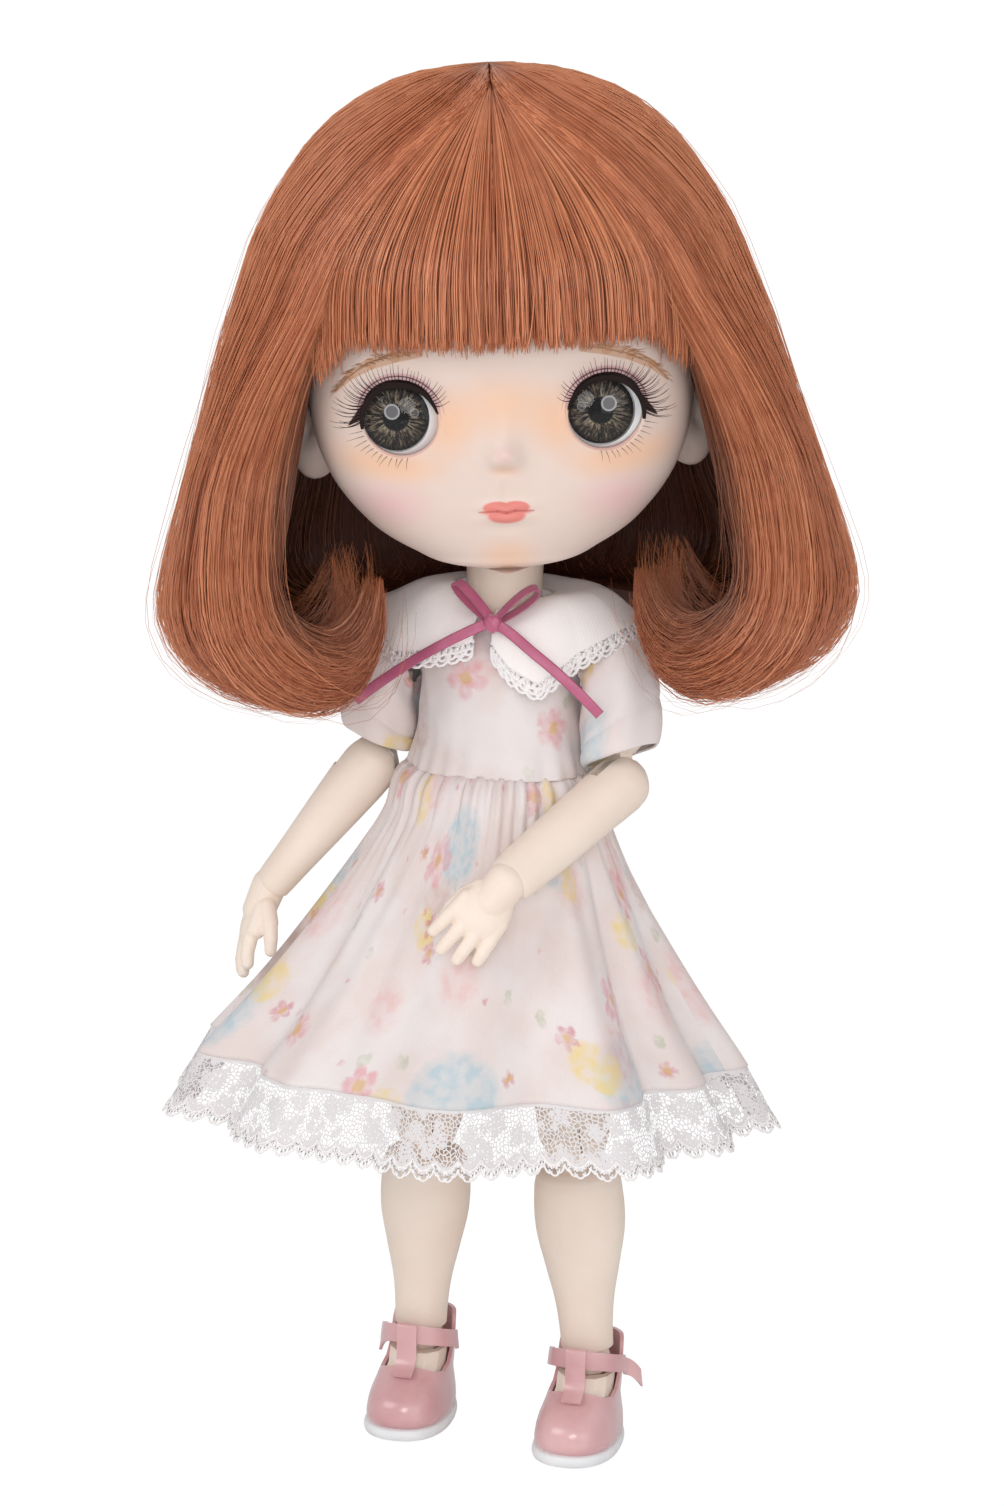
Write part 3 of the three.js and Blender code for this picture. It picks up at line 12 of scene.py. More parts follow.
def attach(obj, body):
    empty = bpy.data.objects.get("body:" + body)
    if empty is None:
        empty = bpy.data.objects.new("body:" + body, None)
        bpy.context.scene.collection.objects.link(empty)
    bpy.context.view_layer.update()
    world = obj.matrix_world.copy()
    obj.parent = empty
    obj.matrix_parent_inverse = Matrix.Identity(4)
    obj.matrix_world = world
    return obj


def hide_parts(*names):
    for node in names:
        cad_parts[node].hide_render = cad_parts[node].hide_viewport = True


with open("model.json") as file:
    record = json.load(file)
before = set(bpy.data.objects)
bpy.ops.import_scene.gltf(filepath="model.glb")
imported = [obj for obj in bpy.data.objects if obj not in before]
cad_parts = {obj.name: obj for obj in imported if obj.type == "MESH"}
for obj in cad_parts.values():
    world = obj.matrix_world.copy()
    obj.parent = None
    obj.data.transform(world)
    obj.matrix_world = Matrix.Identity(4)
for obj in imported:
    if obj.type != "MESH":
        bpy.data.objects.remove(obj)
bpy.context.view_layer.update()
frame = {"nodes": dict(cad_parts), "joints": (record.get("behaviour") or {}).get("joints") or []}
bpy.ops.object.select_all(action="DESELECT")
MM = 0.001

# ---------------------------------------------------------------------------
# Studio. The doll stands on a pale seamless floor in front of white, lit by a
# large soft box, a round soft light beside the lens and a weak fill. The lens
# is a long portrait one, held a little above the doll and slightly tilted.
# ---------------------------------------------------------------------------


def rgb(red, green, blue):
    """A colour as a screen shows it, 0 to 255, in the shader's own numbers."""
    def linear(level):
        level /= 255
        return level / 12.92 if level <= 0.04045 else ((level + 0.055) / 1.055) ** 2.4
    return (linear(red), linear(green), linear(blue), 1)


def node(tree, kind, feeds=(), **settings):
    """A shader node with its settings made and its inputs set or linked."""
    made = tree.nodes.new("ShaderNode" + kind)
    for key, value in settings.items():
        setattr(made, key, value)
    for key, value in dict(feeds).items():
        if isinstance(value, bpy.types.NodeSocket):
            tree.links.new(value, made.inputs[key])
        else:
            made.inputs[key].default_value = value
    return made


def calc(tree, how, *values):
    return node(tree, "Math", dict(enumerate(values)), operation=how).outputs[0]


def joint_place(name):
    """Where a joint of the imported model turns."""
    return Vector(next(j["pos_m"] for j in frame["joints"] if j["name"] == name))


def turned(axis, degrees):
    return Matrix.Rotation(math.radians(degrees), 4, axis)


waist = joint_place("waist_bend")
view_azimuth, view_elevation, view_roll = math.radians(16), math.radians(12), math.radians(1.5)
view_distance = 1.1
view_back = Vector((
    math.sin(view_azimuth) * math.cos(view_elevation),
    -math.cos(view_azimuth) * math.cos(view_elevation),
    math.sin(view_elevation),
))
view_right = Vector((math.cos(view_azimuth), math.sin(view_azimuth), 0))
view_up = view_back.cross(view_right)
view_target = Vector((waist.x, waist.y, 0.155))
lens_place = view_target + view_back * view_distance
view_target += view_right * 0.0004 - view_up * 0.0013
lens_back = (lens_place - view_target).normalized()
side_way = view_right * math.cos(view_roll) + view_up * math.sin(view_roll)
side_way = (side_way - lens_back * side_way.dot(lens_back)).normalized()
bpy.ops.object.camera_add()
camera = bpy.context.object
camera.name = "camera"
lens_length, film_width = 123.1, 36
camera.data.lens, camera.data.sensor_width = lens_length, film_width
camera.data.clip_start, camera.data.clip_end = 0.05, 20
lens_frame = Matrix((side_way, lens_back.cross(side_way), lens_back)).transposed().to_4x4()
camera.matrix_world = Matrix.Translation(lens_place) @ lens_frame
bpy.context.scene.camera = camera
bpy.context.scene.view_settings.view_transform = "Standard"


def soft_light(name, place, size, watts, shape):
    """A flat lamp that looks at the middle of the doll."""
    bpy.ops.object.light_add(type="AREA", location=place)
    lamp = bpy.context.object
    lamp.name = name
    lamp.data.shape = shape
    lamp.data.size = size
    if shape == "RECTANGLE":
        lamp.data.size_y = size
    lamp.data.energy = watts
    lamp.rotation_mode = "QUATERNION"
    lamp.rotation_quaternion = (Vector(place) - view_target).to_track_quat("Z", "Y")
beside_lens = lens_place + view_back * 0.1 + view_up * 0.04 - view_right * 0.03
soft_light("soft_box", (-0.75, -1.0, 0.9), 0.8, 4.6, "RECTANGLE")
soft_light("lens_light", beside_lens, 0.5, 3.4, "DISK")
soft_light("fill_light", (1.1, -0.8, 0.3), 0.9, 2.7, "RECTANGLE")

world = bpy.data.worlds.new("studio")
bpy.context.scene.world = world
world.use_nodes = True
sky = world.node_tree
sky.nodes.clear()
seen = node(sky, "LightPath")
white_ray = calc(sky, "MAXIMUM", seen.outputs["Is Camera Ray"], seen.outputs["Is Transmission Ray"])
ambient = node(sky, "Background", {"Color": (1, 1, 1, 1), "Strength": 0.62})
backdrop = node(sky, "Background", {"Color": (1, 1, 1, 1), "Strength": 1})
both = node(sky, "MixShader", {0: white_ray, 1: ambient.outputs[0], 2: backdrop.outputs[0]})
node(sky, "OutputWorld", {"Surface": both.outputs[0]})

bpy.ops.mesh.primitive_plane_add(size=80, location=(0, 0, -0.0002))
floor = bpy.context.object
floor.name = "floor"
paper = bpy.data.materials.new("paper")
paper.use_nodes = True
tree = paper.node_tree
tree.nodes.clear()
seen = node(tree, "LightPath")
matte = node(tree, "BsdfDiffuse", {"Color": (0.88, 0.88, 0.88, 1)})
glow = node(tree, "Emission", {"Color": (1, 1, 1, 1), "Strength": 1.12})
share = calc(tree, "MULTIPLY", seen.outputs["Is Camera Ray"], 0.84)
both = node(tree, "MixShader", {0: share, 1: matte.outputs[0], 2: glow.outputs[0]})
node(tree, "OutputMaterial", {"Surface": both.outputs[0]})
floor.data.materials.append(paper)

# ---------------------------------------------------------------------------
# Vinyl limbs and trunk. The body is cast in matte skin-coloured vinyl: pelvis,
# chest, thighs, arm pieces and the balls and pins between them. Most of it is
# under the clothes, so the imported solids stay, with the vinyl's own finish.
# ---------------------------------------------------------------------------


def new_group(name, inputs, outputs):
    """A shader node group with its sockets named, and its two end nodes."""
    made = bpy.data.node_groups.new(name, "ShaderNodeTree")
    for label, kind in inputs:
        made.interface.new_socket(label, in_out="INPUT", socket_type="NodeSocket" + kind)
    for label, kind in outputs:
        made.interface.new_socket(label, in_out="OUTPUT", socket_type="NodeSocket" + kind)
    return made, made.nodes.new("NodeGroupInput").outputs, made.nodes.new("NodeGroupOutput").inputs
def noise(tree, spot, scale, detail=2, roughness=0.5):
    feeds = {"Vector": spot, "Scale": scale, "Detail": detail, "Roughness": roughness}
    return node(tree, "TexNoise", feeds).outputs[0]


def ramp(tree, value, low, high, start=0.0, end=1.0, how="LINEAR"):
    """A value between low and high, turned into one between start and end."""
    feeds = {"Value": value, 1: low, 2: high, 3: start, 4: end}
    return node(tree, "MapRange", feeds, interpolation_type=how).outputs[0]


def mix(tree, share, low, high):
    return node(tree, "Mix", {0: share, 6: low, 7: high}, data_type="RGBA").outputs[2]


mottle, given, result = new_group(
    "mottle",
    [("Vector", "Vector"), ("Scale", "Float"), ("Low", "Color"), ("High", "Color")],
    [("Color", "Color"), ("Height", "Float")],
)
cloudy = noise(mottle, given["Vector"], given["Scale"], 4)
mixed = mix(mottle, ramp(mottle, cloudy, 0.3, 0.7), given["Low"], given["High"])
mottle.links.new(mixed, result["Color"])
mottle.links.new(cloudy, result["Height"])


def mottled(tree, place, scale, low, high):
    """The colour and the height of a faint cloudiness."""
    feeds = {"Vector": place, "Scale": scale, "Low": low, "High": high}
    return node(tree, "Group", feeds, node_tree=mottle).outputs


def finish(name, roughness, **sockets):
    """A new material: its tree, its shader and the place of a point in the doll's frame."""
    made = bpy.data.materials.new(name)
    made.use_nodes = True
    tree = made.node_tree
    shader = tree.nodes["Principled BSDF"]
    shader.inputs["Roughness"].default_value = roughness
    for key, value in sockets.items():
        shader.inputs[key.replace("_", " ")].default_value = value
    return made, tree, shader, node(tree, "TexCoord").outputs["Object"]


def bump(tree, shader, height, strength, depth):
    """Fine relief in a surface, depth in metres."""
    made = node(tree, "Bump", {"Height": height, "Strength": strength, "Distance": depth})
    tree.links.new(made.outputs[0], shader.inputs["Normal"])


skin_low, skin_high = rgb(236, 218, 203), rgb(241, 226, 213)


def vinyl(name, low=skin_low, high=skin_high, roughness=0.48):
    """Skin-coloured vinyl with a faint cloudiness and the fine grain of a matte mould."""
    made, tree, shader, place = finish(
        name, roughness, Subsurface_Weight=0.12, Subsurface_Scale=0.002,
        Subsurface_Radius=(1, 0.5, 0.35), Specular_IOR_Level=0.4,
    )
    tone = mottled(tree, place, 60, low, high)["Color"]
    tree.links.new(tone, shader.inputs["Base Color"])
    bump(tree, shader, noise(tree, place, 2500), 0.25, 0.00004)
    return made, tree, shader, place, tone


skin_vinyl = vinyl("skin_vinyl")[0]
joint_vinyl = vinyl("joint_vinyl", rgb(232, 214, 200), rgb(238, 222, 210), 0.42)[0]


def wear(name, material):
    """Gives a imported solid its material."""
    solid = frame["nodes"][name]
    solid.data.materials.clear()
    solid.data.materials.append(material)


for name in ("pelvis", "chest", "head_cap"):
    wear(name, skin_vinyl)
for name in ("waist_ball", "neck_knob"):
    wear(name, joint_vinyl)
for side in ("left", "right"):
    for name in ("upper_arm", "thigh", "foot"):
        wear(f"{name}_{side}", skin_vinyl)
    for name in ("shoulder_joint", "elbow_joint", "wrist_joint", "hip_ball", "knee_pin", "ankle_ball"):
        wear(f"{name}_{side}", joint_vinyl)

# ---------------------------------------------------------------------------
# Head. A hollow shell cast in vinyl with the nose, lips, lids and ears in it,
# closed behind by a cap. The make-up is sprayed and painted by hand: peach and
# pink shading, coral lips, dark lid lines, a crease line and fine brows.
# ---------------------------------------------------------------------------
head_turn_rest, head_tilt_rest = 17, -3.5
head_set_back, face_rise = 0.001, 0.0285
HEAD = (
    Matrix.Translation(joint_place("head_turn"))
    @ turned("Z", head_turn_rest) @ turned("Y", head_tilt_rest)
    @ Matrix.Translation((0, head_set_back, face_rise))
)


def settle(piece, place, size=MM):
    """Takes a piece from its own millimetres to its place on the doll."""
    bpy.context.view_layer.update()
    piece.data.transform(place @ Matrix.Scale(size, 4) @ piece.matrix_world)
    piece.matrix_world = Matrix.Identity(4)
    return piece


def apply_all(piece):
    """Applies a piece's modifiers in order."""
    bpy.context.view_layer.objects.active = piece
    for modifier in list(piece.modifiers):
        bpy.ops.object.modifier_apply(modifier=modifier.name)
    return piece


def cut_with(piece, cutter, how="DIFFERENCE"):
    """Cuts a closed piece with another, or joins it, and drops the other."""
    modifier = piece.modifiers.new("cut", "BOOLEAN")
    modifier.operation, modifier.object, modifier.solver = how, cutter, "MANIFOLD"
    apply_all(piece)
    bpy.data.objects.remove(cutter)
    return piece


def freeze(piece):
    """Puts an object's own place into its mesh."""
    bpy.context.view_layer.update()
    piece.data.transform(piece.matrix_world)
    piece.matrix_world = Matrix.Identity(4)
    return piece
def edit_all(piece):
    """Opens a piece for editing with all of it selected."""
    bpy.ops.object.select_all(action="DESELECT")
    bpy.context.view_layer.objects.active = piece
    piece.select_set(True)
    bpy.ops.object.mode_set(mode="EDIT")
    bpy.ops.mesh.select_all(action="SELECT")


def slice_off(piece, spot, way):
    """Takes off what lies beyond a plane and closes the cut."""
    edit_all(piece)
    bpy.ops.mesh.bisect(plane_co=spot, plane_no=way, use_fill=True, clear_outer=True)
    bpy.ops.object.mode_set(mode="OBJECT")


def smooth(piece, degrees):
    """Shades a piece smooth but for the edges that turn further than this."""
    bpy.ops.object.select_all(action="DESELECT")
    bpy.context.view_layer.objects.active = piece
    piece.select_set(True)
    bpy.ops.object.shade_smooth_by_angle(angle=math.radians(degrees))
    return piece


def finish_piece(piece, place, material, body, node_name=None):
    """Sets a piece in its place with its material, on its body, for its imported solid."""
    settle(piece, place)
    piece.data.materials.clear()
    piece.data.materials.append(material)
    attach(piece, body)
    if node_name:
        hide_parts(node_name)
    return piece


def new_ball(segments, rings, radius=1.0, **placed):
    """A ball to shape a piece from."""
    bpy.ops.mesh.primitive_uv_sphere_add(segments=segments, ring_count=rings, radius=radius, **placed)
    return bpy.context.object
def points_of(piece):
    spots = np.empty(len(piece.data.vertices) * 3)
    piece.data.vertices.foreach_get("co", spots)
    return spots.reshape(-1, 3)


def move_to(piece, spots):
    piece.data.vertices.foreach_set("co", np.asarray(spots, float).ravel())
    piece.data.update()


def between(rows, level):
    """A table read at levels of its first column, on a smooth curve through its rows."""
    table = np.array(rows, float)
    known, values = table[:, 0], table[:, 1:]
    slopes = np.gradient(values, known, axis=0)
    level = np.clip(level, known[0], known[-1])
    row = np.clip(np.searchsorted(known, level) - 1, 0, len(known) - 2)
    span = (known[row + 1] - known[row])[..., None]
    t = (level - known[row])[..., None] / span
    low, high = values[row], values[row + 1]
    return (
        (1 + 2 * t) * (1 - t) ** 2 * low + t * (1 - t) ** 2 * span * slopes[row]
        + t * t * (3 - 2 * t) * high + t * t * (t - 1) * span * slopes[row + 1]
    )


# Rows give a height, then the half width, the reach to the front and to the back,
# and how square the front is. Heights are counted from the middle of the face.
chin_drop, crown_rise = 30.7, 61
head_half_width, head_front, head_back = 42, 44, 43.5
head_rows = [
    (chin_drop * z if z < 0 else crown_rise * z, w * head_half_width, f * head_front, b * head_back, p)
    for z, w, f, b, p in [
        (-1, 0.13, 0.7, -0.5, 2.2), (-0.964, 0.3, 0.795, -0.28, 2.25), (-0.88, 0.475, 0.852, 0.05, 2.3),
        (-0.78, 0.615, 0.89, 0.3, 2.45), (-0.65, 0.725, 0.927, 0.5, 2.6), (-0.456, 0.84, 0.955, 0.69, 2.8),
        (-0.26, 0.91, 0.97, 0.816, 2.9), (0, 0.958, 0.982, 0.908, 2.9), (0.15, 0.986, 0.995, 0.966, 2.6),
        (0.31, 1, 1, 1, 2.3), (0.49, 0.97, 0.966, 0.977, 2.2), (0.66, 0.85, 0.83, 0.85, 2.1),
        (0.79, 0.7, 0.66, 0.69, 2), (0.9, 0.49, 0.44, 0.48, 2), (0.965, 0.29, 0.24, 0.29, 2),
        (1, 0.07, 0.02, 0.09, 2),
    ]
]
column_crowding = 1.45


def head_surface(level, around, grow=0.0):
    """Points of the plain head at a height and an angle from straight ahead."""
    width, front, back, power = np.moveaxis(between(head_rows, level), -1, 0)
    middle = (back - front) / 2
    sine, cosine = np.sin(around), np.cos(around)
    square = 2 / np.where(cosine > 0, power, 2)
    reach = (front + back) / 2 + grow
    x = np.sign(sine) * (width + grow) * np.abs(sine) ** square
    y = middle - np.sign(cosine) * reach * np.abs(cosine) ** square
    return np.stack([x, y, level + 0 * x], -1)


eye_turn, eye_half_spacing, eye_face, eye_ball_depth, eye_lift = 10, 21, 40.6, 10.6, 2.5
lid_half_width, lid_half_height = 7.95, 7.5
eye_ball_radius, eye_gap = 11, 0.3


def eye_frame(side):
    """An eye's place in the head: its middle, looking along its own -Y."""
    lean = math.radians(eye_turn)
    x = side * (eye_half_spacing - eye_ball_depth * math.sin(lean))
    return Matrix.Translation((x, eye_ball_depth * math.cos(lean) - eye_face, eye_lift)) @ turned(
        "Z", side * eye_turn
    )


def on_doll(side):
    """An eye's frame on the doll, in metres."""
    return HEAD @ Matrix.Scale(MM, 4) @ eye_frame(side) @ Matrix.Scale(1 / MM, 4)


def hill(dx, dz, wide, high):
    return np.exp(-((dx / wide) ** 2) - (dz / high) ** 2)


nose_drop, mouth_drop = 5.2, 17.0


def face_relief(spots):
    """How far the features stand in front of the plain face."""
    x, z = spots[:, 0], spots[:, 2]
    nose = 2.5 * hill(x, z + nose_drop, 3.1, 2.9) + 0.9 * hill(x, z + nose_drop - 4, 3.2, 5.5)
    nose += 0.55 * hill(np.abs(x) - 2.5, z + nose_drop + 0.9, 1.3, 1.3)
    nose -= 0.7 * hill(x, z + nose_drop + 3.5, 2.6, 1.1)
    groove = -0.3 * hill(x, z + mouth_drop - 4.3, 1.1, 1.9)
    bow = 0.35 * hill(x, 0 * z, 1.2, 1)
    upper = 1.05 * hill(x, z + mouth_drop - 1.05 + bow, 5.2, 1.1)
    lower = 1.2 * hill(x, z + mouth_drop + 1.15, 4.3, 1.2)
    line = -0.12 * hill(x, z + mouth_drop + 0.1 - 0.25 * hill(np.abs(x) - 2, 0 * z, 1.6, 1), 5.4, 0.38)
    corners = -0.05 * hill(np.abs(x) - 6, z + mouth_drop - 0.1, 1, 1)
    under = -0.3 * hill(x, z + mouth_drop + 3.5, 4.6, 1.1)
    socket = -1.1 * hill(np.abs(x) - eye_half_spacing, z - eye_lift, 9.5, 9.5)
    reach = nose + groove + upper + lower + line + corners + under + socket
    for side in (1, -1):
        local = np.array(eye_frame(side).inverted())
        place = spots @ local[:3, :3].T + local[:3, 3]
        far = np.hypot(place[:, 0] / lid_half_width, place[:, 2] / lid_half_height)
        lift = np.clip(place[:, 2] / lid_half_height, -1, 1)
        reach += (0.42 + 0.3 * lift) * np.exp(-(((far - 1.13) / 0.075) ** 2)) * (far < 2)
        reach -= 0.5 * np.clip(1 - (far - 0.98) / 0.07, 0, 1) ** 2 * (far < 1.2)
    return reach


def plain_head(name, segments, rings, grow=0.0):
    """A ball pushed into the outline of the head."""
    ball = new_ball(segments, rings)
    ball.name = name
    spots = points_of(ball)
    low, high = head_rows[0][0], head_rows[-1][0]
    level = (low + high) / 2 + (high - low) / 2 * spots[:, 2]
    swing = np.arctan2(spots[:, 0], -spots[:, 1]) / math.pi
    around = np.sign(swing) * math.pi * np.abs(swing) ** column_crowding
    made = head_surface(level, around, grow)
    pole = np.abs(spots[:, 2]) > 1 - 1e-6
    made[pole, 0] = 0
    made[pole, 1] = np.where(spots[pole, 2] > 0, 1, -38)
    move_to(ball, made)
    return ball


face = plain_head("face", 88, 64)
finer = face.modifiers.new("finer", "SUBSURF")
finer.levels = finer.render_levels = 2
apply_all(face)
spots = points_of(face)
front = spots[:, 1] < -6
spots[front, 1] -= face_relief(spots[front])
move_to(face, spots)

ear_reach, ear_half_depth, ear_half_height, ear_drop, ear_set_back = 6.2, 5.6, 10, 6, 4
for side in (1, -1):
    ear = new_ball(64, 48)
    spots = points_of(ear)
    x, y, z = spots.T
    bowl = np.exp(-(((x - 0.75) / 0.6) ** 2) - ((y + 0.62) / 0.42) ** 2 - ((z - 0.12) / 0.5) ** 2)
    fold = np.exp(-(((y + 0.35) / 0.14) ** 2) - ((z - 0.15) / 0.42) ** 2) * (x > 0.2)
    spots *= (1 - 0.42 * bowl + 0.05 * fold)[:, None]
    spots[:, 1] *= np.where(z < -0.3, 1 - 0.35 * (-z - 0.3), 1)
    spots *= (ear_reach, ear_half_depth, ear_half_height)
    move_to(ear, spots)
    ear.data.transform(turned("Y", -8) @ turned("Z", -18))
    edge = head_surface(np.array([-ear_drop]), np.array([math.pi / 2]))[0][0]
    ear.data.transform(Matrix.Translation((edge, ear_set_back, -ear_drop)))
    if side < 0:
        ear.data.transform(Matrix.Scale(-1, 4, (1, 0, 0)))
        ear.data.flip_normals()
    cut_with(face, ear, "UNION")

head_wall, cavity_floor = 3.2, 17
room = plain_head("room", 48, 32, -head_wall)
spots = points_of(room)
spots[:, 2] = np.maximum(spots[:, 2], -cavity_floor)
keep = spots[:, 2] <= -cavity_floor
spots[keep, :2] *= 0.97
move_to(room, spots)
cut_with(face, room)
knob_radius = 7.9
cut_with(face, freeze(new_ball(
    64, 32, knob_radius + eye_gap, location=(0, -head_set_back / MM, -face_rise / MM)
)))
to_front = (math.pi / 2, 0, 0)


def round_bar(radius, depth, place=(0, 0, 0)):
    """A round bar that lies along the way the face looks."""
    bpy.ops.mesh.primitive_cylinder_add(
        vertices=96, radius=radius, depth=depth, rotation=to_front, location=place
    )
    return freeze(bpy.context.object)


for side in (1, -1):
    hole = round_bar(1, 30)
    oval = Matrix.Diagonal((lid_half_width, 1, lid_half_height, 1))
    hole.data.transform(eye_frame(side) @ Matrix.Translation((0, -15, 0)) @ oval)
    cut_with(face, hole)
    nest = new_ball(64, 32, eye_ball_radius + eye_gap)
    nest.data.transform(eye_frame(side))
    cut_with(face, nest)
cap_front, cap_back = 36, 4
slope = math.atan2(cap_front - cap_back, head_front + head_back)
slice_off(
    face, (0, (head_back - head_front) / 2, (cap_front + cap_back) / 2),
    (0, math.sin(slope), math.cos(slope)),
)
smooth(face, 38)


def in_frame(tree, place, of, size=1.0):
    """A point of the doll's frame in the frame of one of its pieces, in millimetres."""
    spot, spin, _ = of.decompose()
    local = node(
        tree, "Mapping",
        {"Vector": place, "Location": spot, "Rotation": spin.to_euler(), "Scale": (MM, MM, MM)},
        vector_type="TEXTURE",
    )
    return local.outputs[0]
def vectors(tree, how, *values, out=0, **more):
    """A sum on vectors."""
    feeds = {**dict(enumerate(values)), **more}
    return node(tree, "VectorMath", feeds, operation=how).outputs[out]


def distance(tree, x, y):
    return calc(tree, "SQRT", calc(tree, "MULTIPLY_ADD", x, x, calc(tree, "MULTIPLY", y, y)))
soft_spot, given, result = new_group(
    "soft_spot",
    [("Vector", "Vector"), ("Centre", "Vector"), ("Size", "Vector"), ("Hardness", "Float")],
    [("Mask", "Float")],
)
away = vectors(soft_spot, "SUBTRACT", given["Vector"], given["Centre"])
away = vectors(soft_spot, "DIVIDE", away, given["Size"])
away = vectors(soft_spot, "LENGTH", away, out="Value")
fade = ramp(soft_spot, away, given["Hardness"], 1.0, 1.0, 0.0, "SMOOTHSTEP")
soft_spot.links.new(fade, result["Mask"])

brush, given, result = new_group(
    "brush_stroke",
    [("Vector", "Vector"), ("Start", "Vector"), ("End", "Vector"), ("Start Width", "Float"), ("End Width", "Float")],
    [("Mask", "Float")],
)
whole = vectors(brush, "SUBTRACT", given["End"], given["Start"])
reach = vectors(brush, "SUBTRACT", given["Vector"], given["Start"])
over = vectors(brush, "DOT_PRODUCT", reach, whole, out="Value")
square = vectors(brush, "DOT_PRODUCT", whole, whole, out="Value")
along = node(brush, "Math", {0: over, 1: square}, operation="DIVIDE", use_clamp=True).outputs[0]
foot = vectors(brush, "SCALE", whole, Scale=along)
away = vectors(brush, "DISTANCE", reach, foot, out="Value")
wide = ramp(brush, along, 0.0, 1.0, given["Start Width"], given["End Width"])
fade = ramp(brush, calc(brush, "DIVIDE", away, wide), 0.72, 1.0, 1.0, 0.0, "SMOOTHSTEP")
brush.links.new(fade, result["Mask"])

# A painted line round part of the lid: how far out it starts and ends where it is
# widest, the angle where that is, and how far round it tapers.
lid_line, given, result = new_group(
    "lid_line",
    [("Vector", "Vector"), ("Inner", "Float"), ("Outer", "Float"), ("Middle", "Float"), ("Spread", "Float")],
    [("Mask", "Float")],
)
split = node(lid_line, "SeparateXYZ", {0: given["Vector"]}).outputs
across = calc(lid_line, "DIVIDE", split["X"], lid_half_width)
upward = calc(lid_line, "DIVIDE", split["Z"], lid_half_height)
far = distance(lid_line, across, upward)
angle = calc(lid_line, "ARCTAN2", upward, across)
apart = calc(lid_line, "SUBTRACT", angle, given["Middle"])
apart = calc(lid_line, "ABSOLUTE", calc(lid_line, "WRAP", apart, math.pi, -math.pi))
apart = calc(lid_line, "DIVIDE", apart, given["Spread"])
taper = ramp(lid_line, apart, 0.35, 1.0, 1.0, 0.0, "SMOOTHSTEP")
middle = calc(lid_line, "MULTIPLY", calc(lid_line, "ADD", given["Inner"], given["Outer"]), 0.5)
half = calc(lid_line, "MULTIPLY", calc(lid_line, "SUBTRACT", given["Outer"], given["Inner"]), 0.5)
half = calc(lid_line, "MAXIMUM", calc(lid_line, "MULTIPLY", half, taper), 0.0005)
off = calc(lid_line, "ABSOLUTE", calc(lid_line, "SUBTRACT", far, middle))
off = calc(lid_line, "SUBTRACT", off, half)
edge = ramp(lid_line, off, -0.012, 0.012, 1.0, 0.0, "SMOOTHSTEP")
shown = calc(lid_line, "MULTIPLY", edge, calc(lid_line, "GREATER_THAN", taper, 0.02))
ahead = calc(lid_line, "LESS_THAN", split["Y"], -2)
lid_line.links.new(calc(lid_line, "MULTIPLY", shown, ahead), result["Mask"])


def paint_over(tree, base, mask, colour, strength=1.0):
    """One layer of paint over what is there."""
    share = calc(tree, "MULTIPLY", mask, strength)
    return mix(tree, share, base, colour)


face_vinyl, tree, shader, place, tone = vinyl("face_vinyl", rgb(222, 200, 189), rgb(227, 207, 197), 0.45)
local = in_frame(tree, place, HEAD)
from_front = vectors(tree, "MULTIPLY", local, (1, 0, 1))
ahead = calc(tree, "LESS_THAN", node(tree, "SeparateXYZ", {0: local}).outputs["Y"], -15)


def spot(centre, size, hardness=0.0):
    feeds = {"Vector": local, "Centre": centre, "Size": size, "Hardness": hardness}
    return node(tree, "Group", feeds, node_tree=soft_spot).outputs[0]


def stroke(start, end, start_width, end_width, seen=local):
    feeds = {
        "Vector": seen, "Start": start, "End": end, "Start Width": start_width, "End Width": end_width
    }
    return node(tree, "Group", feeds, node_tree=brush).outputs[0]


def front_line(tone, spots, widths, colour, strength):
    """A line painted on the front of the face, as it is seen from straight ahead."""
    spots = [(x, 0, z) for x, z in spots]
    for start, end, thick, thin in zip(spots, spots[1:], widths, widths[1:]):
        mask = calc(tree, "MULTIPLY", stroke(start, end, thick, thin, from_front), ahead)
        tone = paint_over(tree, tone, mask, colour, strength)
    return tone


peach, blush_pink, lip_coral = rgb(238, 184, 140), rgb(232, 178, 184), rgb(224, 122, 112)
liner_brown, crease_brown, lid_pink = rgb(44, 24, 24), rgb(86, 44, 48), rgb(198, 140, 156)
# Sprayed shading: where each spot lies across the face, how far forward and how
# high, its size, its paint and how strong it is.
for across, forward, up, size, colour, strength in (
    ((0,), -42, 5, (17, 30, 9), peach, 0.55),
    ((-11.5, 11.5), -42, 1, (9, 30, 10), peach, 0.62),
    ((-29, 29), -36, -6, (11, 30, 6), peach, 0.5),
    ((-21, 21), -37, -7.5, (13, 30, 5.5), peach, 0.6),
    ((0,), -38, -27, (9, 30, 6), peach, 0.5),
    ((-24, 23), -37, -15.5, (12, 30, 7.5), blush_pink, 0.5),
    ((0,), -44, -5, (3.4, 30, 3), blush_pink, 0.3),
    ((0,), -42, -8.4, (5, 30, 2.2), peach, 0.35),
    ((-21, 21), -37, 3, (13, 30, 13), blush_pink, 0.16),
):
    for x in across:
        tone = paint_over(tree, tone, spot((x, forward, up), size), colour, strength)
brow_line = [(16.4, 15.9), (21.5, 15.3), (26.5, 13.7), (30.8, 11.1), (34.0, 7.6)]
